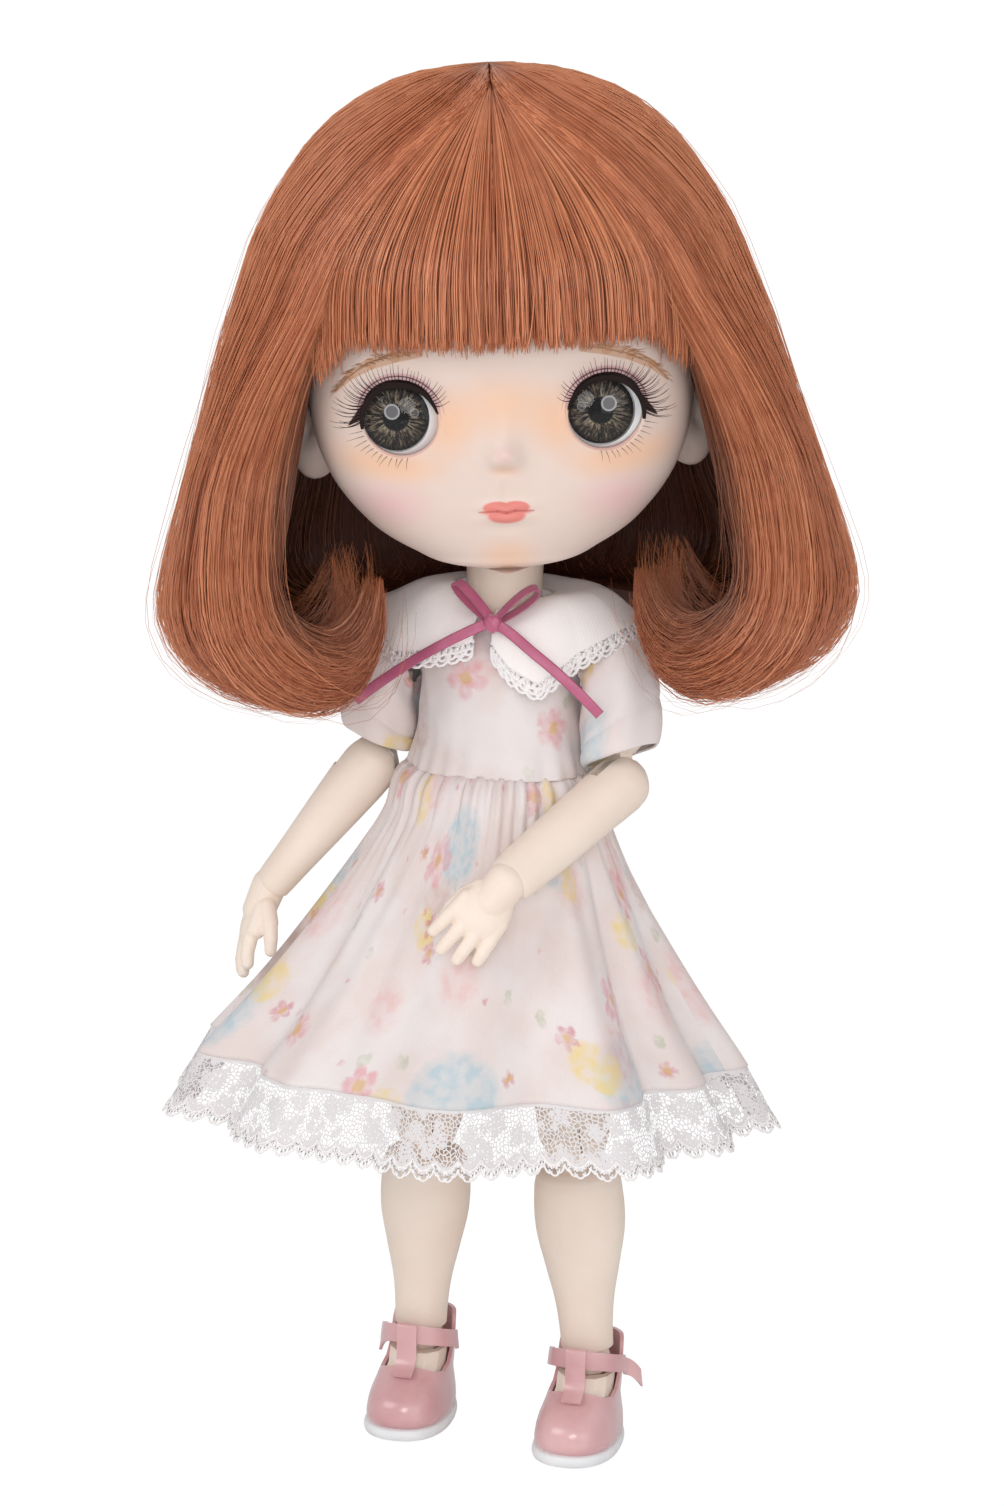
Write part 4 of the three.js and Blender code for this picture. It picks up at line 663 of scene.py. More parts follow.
for side in (1, -1):
    lid = in_frame(tree, place, on_doll(side))
    top, under = math.pi / 2 - side * 0.14, -math.pi / 2
    for inner, outer, middle, spread, colour, strength in (
        (0.9, 1.27, top, 1.8, lid_pink, 0.5),
        (0.8, 1.06, under, 2.4, rgb(206, 162, 154), 0.75),
        # The liner runs inward over the upper wall of the lid: partly the lid edge painted dark, partly painted
        # shade under the lid.
        (0.5, 1.105, top, 2.1, liner_brown, 1.0),
        (1.165, 1.205, top, 1.7, crease_brown, 0.85),
    ):
        feeds = {"Vector": lid, "Inner": inner, "Outer": outer, "Middle": middle, "Spread": spread}
        mask = node(tree, "Group", feeds, node_tree=lid_line).outputs[0]
        tone = paint_over(tree, tone, mask, colour, strength)
    corner = [(side * 25.4, -38.8, 7.9), (side * 28.6, -36.6, 3.6), (side * 32.0, -33.4, 0.2)]
    for start, end, thick, thin in zip(corner, corner[1:], (1.1, 1.35), (1.35, 0.12)):
        tone = paint_over(tree, tone, stroke(start, end, thick, thin), liner_brown)
    tone = front_line(
        tone, [(side * x, z) for x, z in brow_line], (0.8, 1.35, 1.35, 1.0, 0.35), rgb(196, 148, 112), 0.7
    )
lips = 0.0
for x, z, size, hardness in (
    (-1.9, -16.1, (3.3, 9, 1.5), 0.75), (1.9, -16.1, (3.3, 9, 1.5), 0.75),
    (0, -17.75, (4.5, 9, 2.05), 0.72), (0, -17.0, (6.4, 9, 1.15), 0.55),
):
    lips = calc(tree, "MAXIMUM", lips, spot((x, -42, z), size, hardness))
tone = paint_over(tree, tone, lips, lip_coral, 0.9)
tone = paint_over(tree, tone, spot((0, -42, -18.1), (2.9, 9, 1.0)), rgb(238, 150, 138), 0.55)
parting = [(-5.6, -17.0), (-1.8, -16.75), (0, -17.1), (1.8, -16.75), (5.6, -17.0)]
tone = front_line(tone, parting, (0.16, 0.34, 0.4, 0.34, 0.16), rgb(180, 78, 72), 0.55)
tree.links.new(tone, shader.inputs["Base Color"])
finish_piece(face, HEAD, face_vinyl, "head", "face_shell")

# ---------------------------------------------------------------------------
# Eyes. Each is a moulded white with a sunk, printed iris under a clear resin
# dome, set into the head from behind. Nothing moves in it.
# ---------------------------------------------------------------------------
iris_radius, iris_face, iris_thickness, cornea_bulge = 6.8, 8.3, 0.6, 1.5
iris_shift, iris_up = {1: -0.75, -1: -1.15}, 0.2
back_cut, pupil_radius = 1.5, 2.6
# Each catch light, a reflection painted into the iris print: where it lies from the middle of the iris, and its
# radius
painted_catch_lights = {-1: ((-0.75, 1.15, 1.7), (3.9, 0.9, 1.0)), 1: ((1.75, 1.3, 1.7), (-4.0, 1.1, 1.0))}
eye_names = {1: "left", -1: "right"}

eye_white, tree, shader, place = finish("eye_white", 0.22, Specular_IOR_Level=0.5, Coat_Weight=0.3)
tone = mottled(tree, place, 90, rgb(190, 182, 182), rgb(204, 197, 196))["Color"]
tree.links.new(tone, shader.inputs["Base Color"])


def iris_print(name, of, side):
    """Printed streaks from the pupil to a dark rim, read from the middle of the eye, with painted catch lights over
    them.
    """
    made, tree, shader, place = finish(name, 0.55, Specular_IOR_Level=0.12)
    split = node(tree, "SeparateXYZ", {0: in_frame(tree, place, of)}).outputs
    x, z = calc(tree, "SUBTRACT", split["X"], iris_shift[side]), calc(tree, "SUBTRACT", split["Z"], iris_up)
    far = calc(tree, "MAXIMUM", distance(tree, x, z), 0.01)
    ray = node(tree, "CombineXYZ", {
        0: calc(tree, "DIVIDE", x, far), 1: calc(tree, "DIVIDE", z, far), 2: calc(tree, "MULTIPLY", far, 0.04)
    }).outputs[0]
    fine = ramp(tree, noise(tree, ray, 12.5, 4, 0.75), 0.5, 0.64)
    coarse = ramp(tree, noise(tree, ray, 6, 3), 0.4, 0.6)
    inner = calc(tree, "MULTIPLY", ramp(tree, far, 2.4, 4.8, 1.0, 0.0), fine)
    rim = ramp(tree, far, 5.4, 6.5, how="SMOOTHSTEP")
    pupil = calc(tree, "LESS_THAN", far, calc(tree, "MULTIPLY_ADD", fine, 0.4, pupil_radius))
    tone = rgb(14, 12, 12)
    for mask, colour, strength in (
        (coarse, rgb(44, 36, 32), 0.8), (fine, rgb(122, 108, 90), 0.9), (inner, rgb(206, 190, 160), 0.7),
        (rim, rgb(16, 14, 15), 0.85), (pupil, rgb(5, 5, 6), 1.0),
    ):
        tone = paint_over(tree, tone, mask, colour, strength)
    # Painted reflections: a grey disc with a lighter rim for each catch light, in the iris colour.
    for glint_x, glint_z, size in painted_catch_lights[side]:
        dx, dz = calc(tree, "SUBTRACT", x, glint_x), calc(tree, "SUBTRACT", z, glint_z)
        away = calc(tree, "DIVIDE", distance(tree, dx, dz), size)
        glint = ramp(tree, away, 0.9, 1.0, 1.0, 0.0)
        ring = calc(tree, "MULTIPLY", glint, calc(tree, "GREATER_THAN", away, 0.74))
        strength = 0.85 if size > 1 else 0.35
        tone = paint_over(tree, tone, glint, rgb(112, 110, 112), strength)
        tone = paint_over(tree, tone, ring, rgb(186, 186, 188), strength * 0.8)
    tree.links.new(tone, shader.inputs["Base Color"])
    bump(tree, shader, fine, 0.3, 0.0001)
    return made


dome_clear, tree, shader, place = finish("clear_resin", 0.03, Specular_IOR_Level=0.5)
polish = ramp(tree, noise(tree, place, 400), 0.0, 1.0, 0.02, 0.05)
mirror_side = node(tree, "BsdfGlossy", {"Color": (1, 1, 1, 1), "Roughness": polish})
see_through = node(tree, "BsdfTransparent", {"Color": (1, 1, 1, 1)})
facing = node(tree, "Fresnel", {"IOR": 1.3}).outputs[0]
outside = calc(tree, "SUBTRACT", 1.0, node(tree, "NewGeometry").outputs["Backfacing"])
facing = calc(tree, "MULTIPLY", facing, outside)
resin = node(tree, "MixShader", {0: facing, 1: see_through.outputs[0], 2: mirror_side.outputs[0]})
tree.links.new(resin.outputs[0], tree.nodes["Material Output"].inputs["Surface"])

# The iris dips in steps towards the pupil: how far in each goes, and how deep
dish_steps = ((0.25, 0.0), (2.6, 0.14), (2.0, 0.16), (1.2, 0.02))
dome_base = iris_face + iris_thickness + eye_gap
dome_radius = (iris_radius ** 2 + cornea_bulge ** 2) / (2 * cornea_bulge)
for side, name in eye_names.items():
    at_eye = on_doll(side)
    eyeball = freeze(new_ball(64, 32, eye_ball_radius, rotation=to_front))
    eyeball.name = f"eye_white_{name}"
    slice_off(eyeball, (0, back_cut, 0), (0, 1, 0))
    pit = (iris_shift[side], -iris_face + eye_gap - 5, iris_up)
    cut_with(eyeball, round_bar(iris_radius + eye_gap, 10, pit))
    settle(smooth(eyeball, 35), at_eye)
    eyeball.data.materials.append(eye_white)
    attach(eyeball, "head")
    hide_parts(f"eye_{name}")

    iris = round_bar(
        iris_radius, iris_thickness, (iris_shift[side], -iris_face - iris_thickness / 2, iris_up)
    )
    iris.name = f"iris_print_{name}"
    shaped = bmesh.new()
    shaped.from_mesh(iris.data)
    front_faces = [f for f in shaped.faces if f.normal.y < -0.9]
    for inset, sink in dish_steps:
        bmesh.ops.inset_region(shaped, faces=front_faces, thickness=inset, depth=0)
        for vertex in {v for f in front_faces for v in f.verts}:
            vertex.co.y += sink
    shaped.to_mesh(iris.data)
    shaped.free()
    paper_print = iris_print(f"iris_print_{name}", at_eye, side)
    finish_piece(smooth(iris, 40), at_eye, paper_print, "head", f"iris_{name}")

    dome = freeze(new_ball(
        96, 192, dome_radius, rotation=to_front,
        location=(iris_shift[side], dome_radius - dome_base - cornea_bulge, iris_up),
    ))
    dome.name = f"eye_dome_{name}"
    slice_off(dome, (0, -dome_base, 0), (0, 1, 0))
    finish_piece(smooth(dome, 20), at_eye, dome_clear, "head", f"cornea_{name}")

# ---------------------------------------------------------------------------
# Lashes and brows. The upper lashes are a comb of fine fibres glued along the
# lid; the lower ones and the brows are single hairs, drawn with a fine brush and
# raised here by a hair's thickness.
# ---------------------------------------------------------------------------


def closed_grid(name, rings, facts=None):
    """A closed mesh through rings of points that close on themselves; its ends are capped."""
    rings = np.asarray(rings, float)
    count, around = rings.shape[:2]
    low = np.arange(count - 1)[:, None] * around + np.arange(around)
    ahead = np.arange(count - 1)[:, None] * around + (np.arange(around) + 1) % around
    quads = np.stack([low, ahead, ahead + around, low + around], -1).reshape(-1, 4)
    made = bpy.data.meshes.new(name)
    faces = quads.tolist()
    faces.append(list(range(around))[::-1])
    faces.append(list(range((count - 1) * around, count * around)))
    made.from_pydata(rings.reshape(-1, 3).tolist(), [], faces)
    for key, values in (facts or {}).items():
        fact = made.attributes.new(key, "FLOAT_VECTOR", "POINT")
        fact.data.foreach_set("vector", np.asarray(values, np.float32).ravel())
    whole = bmesh.new()
    whole.from_mesh(made)
    bmesh.ops.recalc_face_normals(whole, faces=whole.faces)
    whole.to_mesh(made)
    whole.free()
    piece = bpy.data.objects.new(name, made)
    bpy.context.scene.collection.objects.link(piece)
    return piece


def fibres(name, lines, across, widths, thin=1.0, around=3, seed=1, painted_shade=0.0):
    """One mesh of closed, tapering fibres along lines of points; across is each one's flat way."""
    lines, widths = np.asarray(lines, float), np.asarray(widths, float)
    count, steps, _ = lines.shape
    along = np.gradient(lines, axis=1)
    along /= np.linalg.norm(along, axis=2, keepdims=True) + 1e-12
    across = np.broadcast_to(across, lines.shape)
    out = np.cross(along, across)
    out /= np.linalg.norm(out, axis=2, keepdims=True) + 1e-12
    flat = np.cross(out, along)
    turn = np.arange(around) / around * 2 * math.pi + math.pi / 2
    rings = lines[:, :, None] + widths[:, :, None, None] / 2 * (
        np.cos(turn)[:, None] * flat[:, :, None] + thin * np.sin(turn)[:, None] * out[:, :, None]
    )
    low = (
        np.arange(count)[:, None, None] * steps * around
        + np.arange(steps - 1)[None, :, None] * around + np.arange(around)
    )
    nxt = low - np.arange(around) + (np.arange(around) + 1) % around
    quads = np.stack([low, nxt, nxt + around, low + around], -1).reshape(-1, 4)
    first = np.arange(count)[:, None] * steps * around + np.arange(around)[::-1]
    last = np.arange(count)[:, None] * steps * around + (steps - 1) * around + np.arange(around)
    corners = np.concatenate([quads.ravel(), first.ravel(), last.ravel()])
    starts = np.concatenate([
        np.arange(len(quads)) * 4, len(quads) * 4 + np.arange(2 * count) * around
    ])
    made = bpy.data.meshes.new(name)
    made.vertices.add(count * steps * around)
    made.vertices.foreach_set("co", rings.ravel())
    made.loops.add(len(corners))
    made.loops.foreach_set("vertex_index", corners.astype(np.int32))
    made.polygons.add(len(starts))
    made.polygons.foreach_set("loop_start", starts.astype(np.int32))
    made.polygons.foreach_set("use_smooth", np.ones(len(starts), bool))
    made.update(calc_edges=True)
    luck = np.random.default_rng(seed).random(count)
    fact = made.attributes.new("strand", "FLOAT_VECTOR", "POINT")
    values = np.zeros((count, steps, around, 3), np.float32)
    values[..., 0] = luck[:, None, None]
    values[..., 1] = np.linspace(0, 1, steps)[None, :, None]
    # The third value is the painted shade of each fibre, for those that lie deep in the hair.
    values[..., 2] = np.broadcast_to(painted_shade, (count, steps))[:, :, None]
    fact.data.foreach_set("vector", values.ravel())
    piece = bpy.data.objects.new(name, made)
    bpy.context.scene.collection.objects.link(piece)
    return piece


def fibre_finish(name, low, high, roughness, **sockets):
    """Fibres whose colour changes from one to the next and a little along each; painted shade darkens those set deep
    in the hair.
    """
    made, tree, shader, place = finish(name, roughness, **sockets)
    fact = node(tree, "Attribute", attribute_name="strand").outputs["Vector"]
    split = node(tree, "SeparateXYZ", {0: fact}).outputs
    uneven = noise(tree, place, 260, 3)
    share = calc(tree, "MULTIPLY_ADD", uneven, 0.5, calc(tree, "MULTIPLY", split["X"], 0.75))
    tone = mix(tree, calc(tree, "SUBTRACT", share, 0.12), low, high)
    # Painted shade: fibres deep in the hair are darkened, as little light gets in there.
    tone = paint_over(tree, tone, split["Z"], tuple(c * 0.22 for c in low[:3]) + (1,), 0.8)
    tree.links.new(tone, shader.inputs["Base Color"])
    return made


lash_fibre = fibre_finish("lash_fibre", rgb(24, 12, 12), rgb(52, 28, 26), 0.7, Specular_IOR_Level=0.2)
brow_paint = fibre_finish("brow_paint", rgb(176, 122, 86), rgb(200, 152, 116), 0.7)


def on_face(x, z, out=0.03):
    """The point of the face in front of a place, a little proud of it."""
    level, swing = np.asarray(z, float), np.zeros_like(np.asarray(x, float))
    for _ in range(24):
        found = head_surface(level, swing)
        step = (np.asarray(x) - found[..., 0]) * 0.02
        swing = np.clip(swing + step, -1.4, 1.4)
    found = head_surface(level, swing)
    flat = found.reshape(-1, 3)
    reach = face_relief(flat).reshape(found.shape[:-1])
    found[..., 1] -= reach + out
    return found


def curl_line(root, tip, lift, steps=7):
    """A bent line from root to tip that bows by lift on its way."""
    share = np.linspace(0, 1, steps)[:, None]
    return root + (tip - root) * share + lift * (4 * share * (1 - share))


rng = np.random.default_rng(11)
face_tree = bvhtree.BVHTree.FromObject(face, bpy.context.evaluated_depsgraph_get())


def stand_off(lines, side, least):
    """Brings the points of each lash out to a clearance in front of the lid."""
    to_world = np.array(on_doll(side))
    made = lines.copy()
    ahead = Vector(to_world[:3, :3] @ (0, 1, 0)).normalized()
    for strand in made:
        for step, spot in enumerate(strand):
            start = to_world @ (spot[0] / 1000, -0.03, spot[2] / 1000, 1)
            hit = face_tree.ray_cast(Vector(start[:3]), ahead, 0.045)[0]
            if hit is None:
                continue
            surface = -30 + (hit - Vector(start[:3])).length * 1000
            spot[1] = min(spot[1], surface - least[step])
    return made


upper_lash_length, lower_lash_length = 6.0, 2.3
lash_clearances = (0.05, 0.2, 0.4, 0.65, 0.9, 1.15, 1.4)
brow_hair_line = np.column_stack([
    np.linspace(0, 1, 5), [(16.6, 16.3), (21.5, 15.6), (26.5, 14.0), (30.8, 11.4), (34.2, 7.4)]
])
for side, name in eye_names.items():
    lines, ways, widths = [], [], []
    degrees = np.concatenate([np.arange(-4, 162, 4.4), np.arange(-2, 60, 5.2)])
    for angle in np.radians(degrees):
        outer = np.clip((1.9 - angle) / 1.9, 0, 1)
        spread = angle - 0.1 * outer + rng.normal(0, 0.06)
        radial = np.array([-math.cos(spread), 0, math.sin(spread)])
        root = np.array([-math.cos(angle) * lid_half_width, 0, math.sin(angle) * lid_half_height]) * 1.02
        root[1] = -eye_ball_depth - 0.4
        reach = upper_lash_length * (0.62 + 0.38 * outer) * rng.uniform(0.7, 1.12)
        tip = root + radial * reach * 0.9 + np.array([-0.3 * outer, -0.3 * reach, 0.3])
        lines.append(curl_line(root, tip, np.array([0, -0.15 * reach, -0.1 * reach])))
        ways.append(np.array([math.sin(spread), 0, math.cos(spread)]))
        widths.append(np.linspace(0.25, 0.06, 7))
    for angle in np.radians(np.arange(-100, -14, 7.5)):
        radial = np.array([-math.cos(angle), 0, math.sin(angle)])
        root = radial * (lid_half_width + 0.4, 0, lid_half_height + 0.4)
        root = root + np.array([0, -eye_ball_depth - 0.35 + 1.2 * max(math.cos(angle), 0) ** 2, 0])
        reach = lower_lash_length * rng.uniform(0.65, 1.15)
        tip = root + (radial + np.array([-0.3 + rng.normal(0, 0.12), -0.12, 0])) * reach
        lines.append(curl_line(root, tip, np.array([-0.1, -0.12, 0])))
        ways.append(np.array([math.sin(angle), 0, math.cos(angle)]))
        widths.append(np.linspace(0.15, 0.04, 7))
    lines, ways = np.array(lines), np.array(ways)[:, None]
    if side > 0:
        lines, ways = lines * (-1, 1, 1), ways * (-1, 1, 1)
    lines = stand_off(lines, side, lash_clearances)
    lashes = fibres(f"lashes_{name}", lines, ways, np.array(widths), seed=3)
    angle = np.radians(np.linspace(-14, 172, 70))
    full = np.sin(np.clip((angle + 0.3) / 3.3, 0, 1) * math.pi) ** 0.5
    rings = []
    for far, deep in ((1.03, -0.95), (1.03, -0.35), (0.0, 0.0), (0.0, -0.7)):
        reach = far if far else 1 - 0.13 * full
        y = -eye_ball_depth + deep + 0.35
        rings.append(np.column_stack([
            side * np.cos(angle) * lid_half_width * reach, y + 0 * angle, np.sin(angle) * lid_half_height * reach
        ]))
    comb = closed_grid(f"lash_band_{name}", np.array(rings).transpose(1, 0, 2))
    finish_piece(comb, on_doll(side), lash_fibre, "head", None)
    finish_piece(lashes, on_doll(side), lash_fibre, "head", f"lash_{name}")
    lines, widths = [], []
    for step in range(58):
        share = rng.random()
        x, z = between(brow_hair_line, np.array([share]))[0]
        tall = 1.1 * (1 - share) ** 0.6 + 0.35
        z += rng.uniform(-1, 1) * tall * 0.75
        length = rng.uniform(1.5, 3.0) * (1 - 0.35 * share)
        steep = math.radians(62 - 88 * share + rng.normal(0, 8))
        t = np.linspace(0, 1, 6)
        xs = x + length * t * math.cos(steep)
        zs = z + length * t * math.sin(steep) - 0.5 * t ** 2
        lines.append(on_face(side * xs, zs))
        widths.append(np.interp(t, [0, 0.3, 1], [0.08, 0.17, 0.05]))
    for step in range(14):
        shares = np.linspace(step / 15, min(step / 15 + 0.22, 1), 6)
        xz = between(brow_hair_line, shares)
        lift = rng.uniform(-0.5, 0.5)
        lines.append(on_face(side * xz[:, 0], xz[:, 1] + lift))
        widths.append(np.interp(np.linspace(0, 1, 6), [0, 0.5, 1], [0.06, 0.18, 0.06]))
    brow = fibres(f"brow_{name}", lines, np.array([0, 0.2, 1.0]), np.array(widths), thin=0.25, seed=5)
    finish_piece(brow, HEAD, brow_paint, "head", None)

# ---------------------------------------------------------------------------
# Wig. Straight copper fibre sewn in rows on a thin stretch cap: it parts at the
# crown, is combed forward to a blunt fringe, and is set at the ends in one big
# curl that rolls in under the chin and behind the neck.
# ---------------------------------------------------------------------------
wig_net, tree, shader, place = finish("wig_net", 0.8, Sheen_Weight=0.3)
mesh_cells = node(tree, "TexVoronoi", {"Vector": place, "Scale": 900}, feature="DISTANCE_TO_EDGE").outputs[0]
threads = ramp(tree, mesh_cells, 0.04, 0.12)
tone = mix(tree, threads, rgb(96, 52, 36), rgb(58, 28, 20))
tree.links.new(tone, shader.inputs["Base Color"])
bump(tree, shader, threads, 0.5, 0.0001)
wear("wig_cap", wig_net)

hair_half_width, hair_back_reach, hair_drop, hair_top = 73, 58.5, 60.5, 71
# Rows follow a strand from the parting to the tip: outer reach and height, then
# inner reach and height, as shares; first at the side of the head, then behind it.
side_strand = [
    (0.004, 0.993, 0.004, 0.942), (0.2, 0.97, 0.17, 0.922), (0.36, 0.905, 0.295, 0.858),
    (0.49, 0.805, 0.42, 0.755), (0.59, 0.675, 0.522, 0.64), (0.675, 0.526, 0.6, 0.505),
    (0.735, 0.352, 0.625, 0.34), (0.785, 0.205, 0.628, 0.19), (0.835, 0.029, 0.632, 0.022),
    (0.89, -0.174, 0.655, -0.174), (0.938, -0.362, 0.7, -0.35), (0.986, -0.55, 0.76, -0.49),
    (1, -0.696, 0.782, -0.6), (0.952, -0.84, 0.75, -0.67), (0.836, -0.949, 0.7, -0.71),
    (0.69, -1, 0.652, -0.725), (0.57, -0.945, 0.61, -0.7), (0.505, -0.812, 0.575, -0.65),
    (0.488, -0.652, 0.545, -0.585), (0.507, -0.52, 0.52, -0.51),
]
back_strand = [
    (0.004, 0.993, 0.004, 0.942), (0.222, 0.968, 0.212, 0.922), (0.393, 0.901, 0.368, 0.858),
    (0.562, 0.797, 0.524, 0.755), (0.69, 0.667, 0.652, 0.64), (0.81, 0.522, 0.765, 0.505),
    (0.89, 0.348, 0.83, 0.34), (0.935, 0.203, 0.855, 0.19), (0.96, 0.029, 0.858, 0.022),
    (0.98, -0.174, 0.855, -0.174), (0.995, -0.362, 0.846, -0.35), (1, -0.55, 0.838, -0.49),
    (0.99, -0.696, 0.82, -0.6), (0.955, -0.82, 0.795, -0.66), (0.87, -0.905, 0.77, -0.69),
    (0.77, -0.93, 0.735, -0.7), (0.68, -0.88, 0.71, -0.675), (0.628, -0.785, 0.684, -0.645),
    (0.616, -0.667, 0.658, -0.61), (0.63, -0.58, 0.64, -0.565),
]
# Where the front edge of the side hair lies at each row, in degrees from straight ahead
front_edge = [0, 1, 9, 23, 33, 40, 45, 51, 58, 62, 61, 58, 55, 52, 50, 48, 46, 45, 45, 45]
last_row = len(side_strand) - 1
row_numbers = np.arange(last_row + 1)
side_table = np.column_stack([row_numbers, side_strand])
back_table = np.column_stack([row_numbers, back_strand])
edge_table = np.column_stack([row_numbers, front_edge])


def rise(share, low, high):
    share = np.clip((share - low) / (high - low), 0, 1)
    return share * share * (3 - 2 * share)


def hair_flow(degrees, row, depth, out=0.0):
    """A point of the hair: its angle from straight ahead, its place along a strand, its depth."""
    fold = np.where(degrees > 180, 360 - degrees, degrees)
    wide = np.where(fold < 90, 0.72 + 0.28 * rise(fold, 44, 84), 1 - rise(fold, 96, 172))[..., None]
    sizes_side = np.array([hair_half_width, hair_drop] * 2)
    sizes_back = np.array([hair_back_reach, hair_drop] * 2)
    rows = between(side_table, row) * sizes_side * wide + between(back_table, row) * sizes_back * (1 - wide)
    reach = rows[..., 0] + (rows[..., 2] - rows[..., 0]) * depth
    height = rows[..., 1] + (rows[..., 3] - rows[..., 1]) * depth
    height = np.where(height > 0, height * hair_top / hair_drop, height)
    angle = np.radians(degrees)
    spot = np.stack([np.sin(angle) * reach, -np.cos(angle) * reach, height], -1)
    away = spot - np.array([0, 0, 8.0])
    away /= np.linalg.norm(away, axis=-1, keepdims=True)
    return spot + away * np.asarray(out)[..., None]


hair_low, hair_high = rgb(166, 84, 50), rgb(228, 150, 106)
copper_fibre = fibre_finish("copper_fibre", hair_low, hair_high, 0.34, Specular_IOR_Level=0.6)
copper_mass, tree, shader, place = finish("copper_mass", 0.45, Specular_IOR_Level=0.4)
fact = node(tree, "Attribute", attribute_name="flow").outputs["Vector"]
stretched = node(tree, "Mapping", {"Vector": fact, "Scale": (2.2, 0.12, 0.6)}).outputs[0]
streaks = noise(tree, stretched, 1.0, 6, 0.7)
tone = mix(tree, ramp(tree, streaks, 0.3, 0.7), rgb(104, 48, 28), rgb(190, 108, 70))
# Painted shade: the inner faces of the hair masses and the curled end of the back mass are darkened, where little
# light gets in.
painted_shade_inside = ramp(tree, node(tree, "SeparateXYZ", {0: fact}).outputs["Z"], 0.5, 4.5)
tone = paint_over(tree, tone, painted_shade_inside, rgb(52, 22, 14), 0.85)
tree.links.new(tone, shader.inputs["Base Color"])
bump(tree, shader, streaks, 0.6, 0.0006)


def rounding(share, edge=0.1):
    """How full a lock is at a share across it: it thins out round its two edges."""
    near = np.clip(np.minimum(share, 1 - share) / edge, 0.0004, 1)
    return np.sqrt(1 - (1 - near) ** 2)


def hair_mass(name, first, last, sections, rows=77, shrink=0.6, painted_shade_at_end=0.0):
    """The closed body of a lock between two edges, a little inside its outer fibres."""
    mass_end, closing_from = 16.2, 10.5
    row = np.linspace(0, mass_end - 0.02, rows)
    past = (row - closing_from) / (mass_end - closing_from)
    closing = np.sqrt(np.clip(1 - past ** 2 * (past > 0), 0.0004, 1))
    rings, facts = [], []
    for share in np.linspace(0, 1, sections):
        degrees = first(row) * (1 - share) + last(row) * share
        half = rounding(share) / 2 * closing
        outer = hair_flow(degrees, row, 0.5 - half + 0 * row, -shrink + 0 * row)
        inner = hair_flow(degrees, row, 0.5 + half + 0 * row)
        rings.append(np.concatenate([outer, inner[::-1]]))
        # Painted shade on the curled end of a lock, from row 12 on; it is zero unless asked for.
        flow = np.stack([degrees, row, painted_shade_at_end * rise(row, 12, 14)], -1)
        # The inner faces get 5 more, which the hair mass paints as shade.
        facts.append(np.concatenate([flow, flow[::-1] + (0, 0, 5)]))
    return closed_grid(name, rings, {"flow": facts})


def hair_fibres(name, first, last, count, seed, clumps, fly=0, width=0.5, steps=27, rim_part=0.0, tips=0.0):
    """Fibres that follow a lock from the parting to the tips, gathered into clumps."""
    luck = np.random.default_rng(seed)
    t = np.linspace(0, 1, steps)
    share = luck.random(count) ** 1.5
    rim_turn = luck.uniform(-1, 1, count)
    at_rim = luck.random(count) < rim_part
    share = np.where(at_rim, 0.1 * (1 - np.sqrt(1 - rim_turn ** 2)), share)
    nearest = (np.floor(share * clumps) + luck.uniform(0.3, 0.7, count)) / clumps
    pull = 0.75 * rise(t, 0.25, 1)[None] * ~at_rim[:, None]
    shares = share[:, None] + (nearest - share)[:, None] * pull
    ends = last_row - tips - 6.5 * luck.random(count) ** 1.3
    row = t[None] * ends[:, None]
    pick = luck.random(count)
    depth = np.where(pick < 0.66, luck.uniform(-0.04, 0.22, count), luck.uniform(0, 1, count))
    depth = np.where(pick > 0.78, luck.uniform(0.85, 1.06, count), depth)
    depth = np.where(at_rim, np.where(rim_turn > 0, 1.05, -0.04), depth)
    ripple = 0.05 * np.sin(6 * t[None] + luck.uniform(0, 6, count)[:, None])
    depths = 0.5 + (depth[:, None] - 0.5) * rounding(shares) + ripple
    wander = luck.normal(0, 1.1, count)[:, None] * np.sin(
        t[None] * luck.uniform(3, 8, count)[:, None] + luck.uniform(0, 6, count)[:, None]
    ) * (0.15 + rise(t, 0.2, 1)[None])
    degrees = first(row) * (1 - shares) + last(row) * shares + wander
    out = luck.uniform(-0.2, 0.7, count)[:, None] * (depths < 0.4) * rise(t, 0, 0.15)[None]
    widths = width * luck.uniform(0.6, 1.25, count)[:, None] * np.interp(
        t, [0, 0.05, 0.75, 1], [0.5, 1, 0.9, 0.3]
    )[None]
    if fly:
        strays = luck.choice(count, fly, replace=False)
        start = luck.uniform(0, 0.6, fly)[:, None]
        away = np.clip((t[None] - start) / 0.5, 0, 1) ** 1.5
        out[strays] += luck.uniform(0.6, 5, fly)[:, None] * away
        degrees[strays] += luck.normal(0, 6, fly)[:, None] * away
        widths[strays] *= 0.4
    lines = hair_flow(degrees, row, depths, out)
    angle = np.radians(degrees)
    across = np.stack([np.cos(angle), np.sin(angle), 0 * angle], -1)
    # Painted shade for fibres deep in the lock, weaker towards the curl tips of the side locks.
    painted_shade = rise(depths, 0.45, 0.95) * (1 - 0.65 * rise(row, 12, 15.5) * (tips == 0))
    return fibres(name, lines, across, widths, thin=0.55, seed=seed, painted_shade=painted_shade)


def edge_at(row):
    return between(edge_table, row)[..., 0]


back_edge = 128


def level_edge(degrees):
    return lambda row: degrees + 0 * row


def dress_hair(piece, material, of=HEAD, node_name=None):
    finish_piece(piece, of, material, "head", node_name)


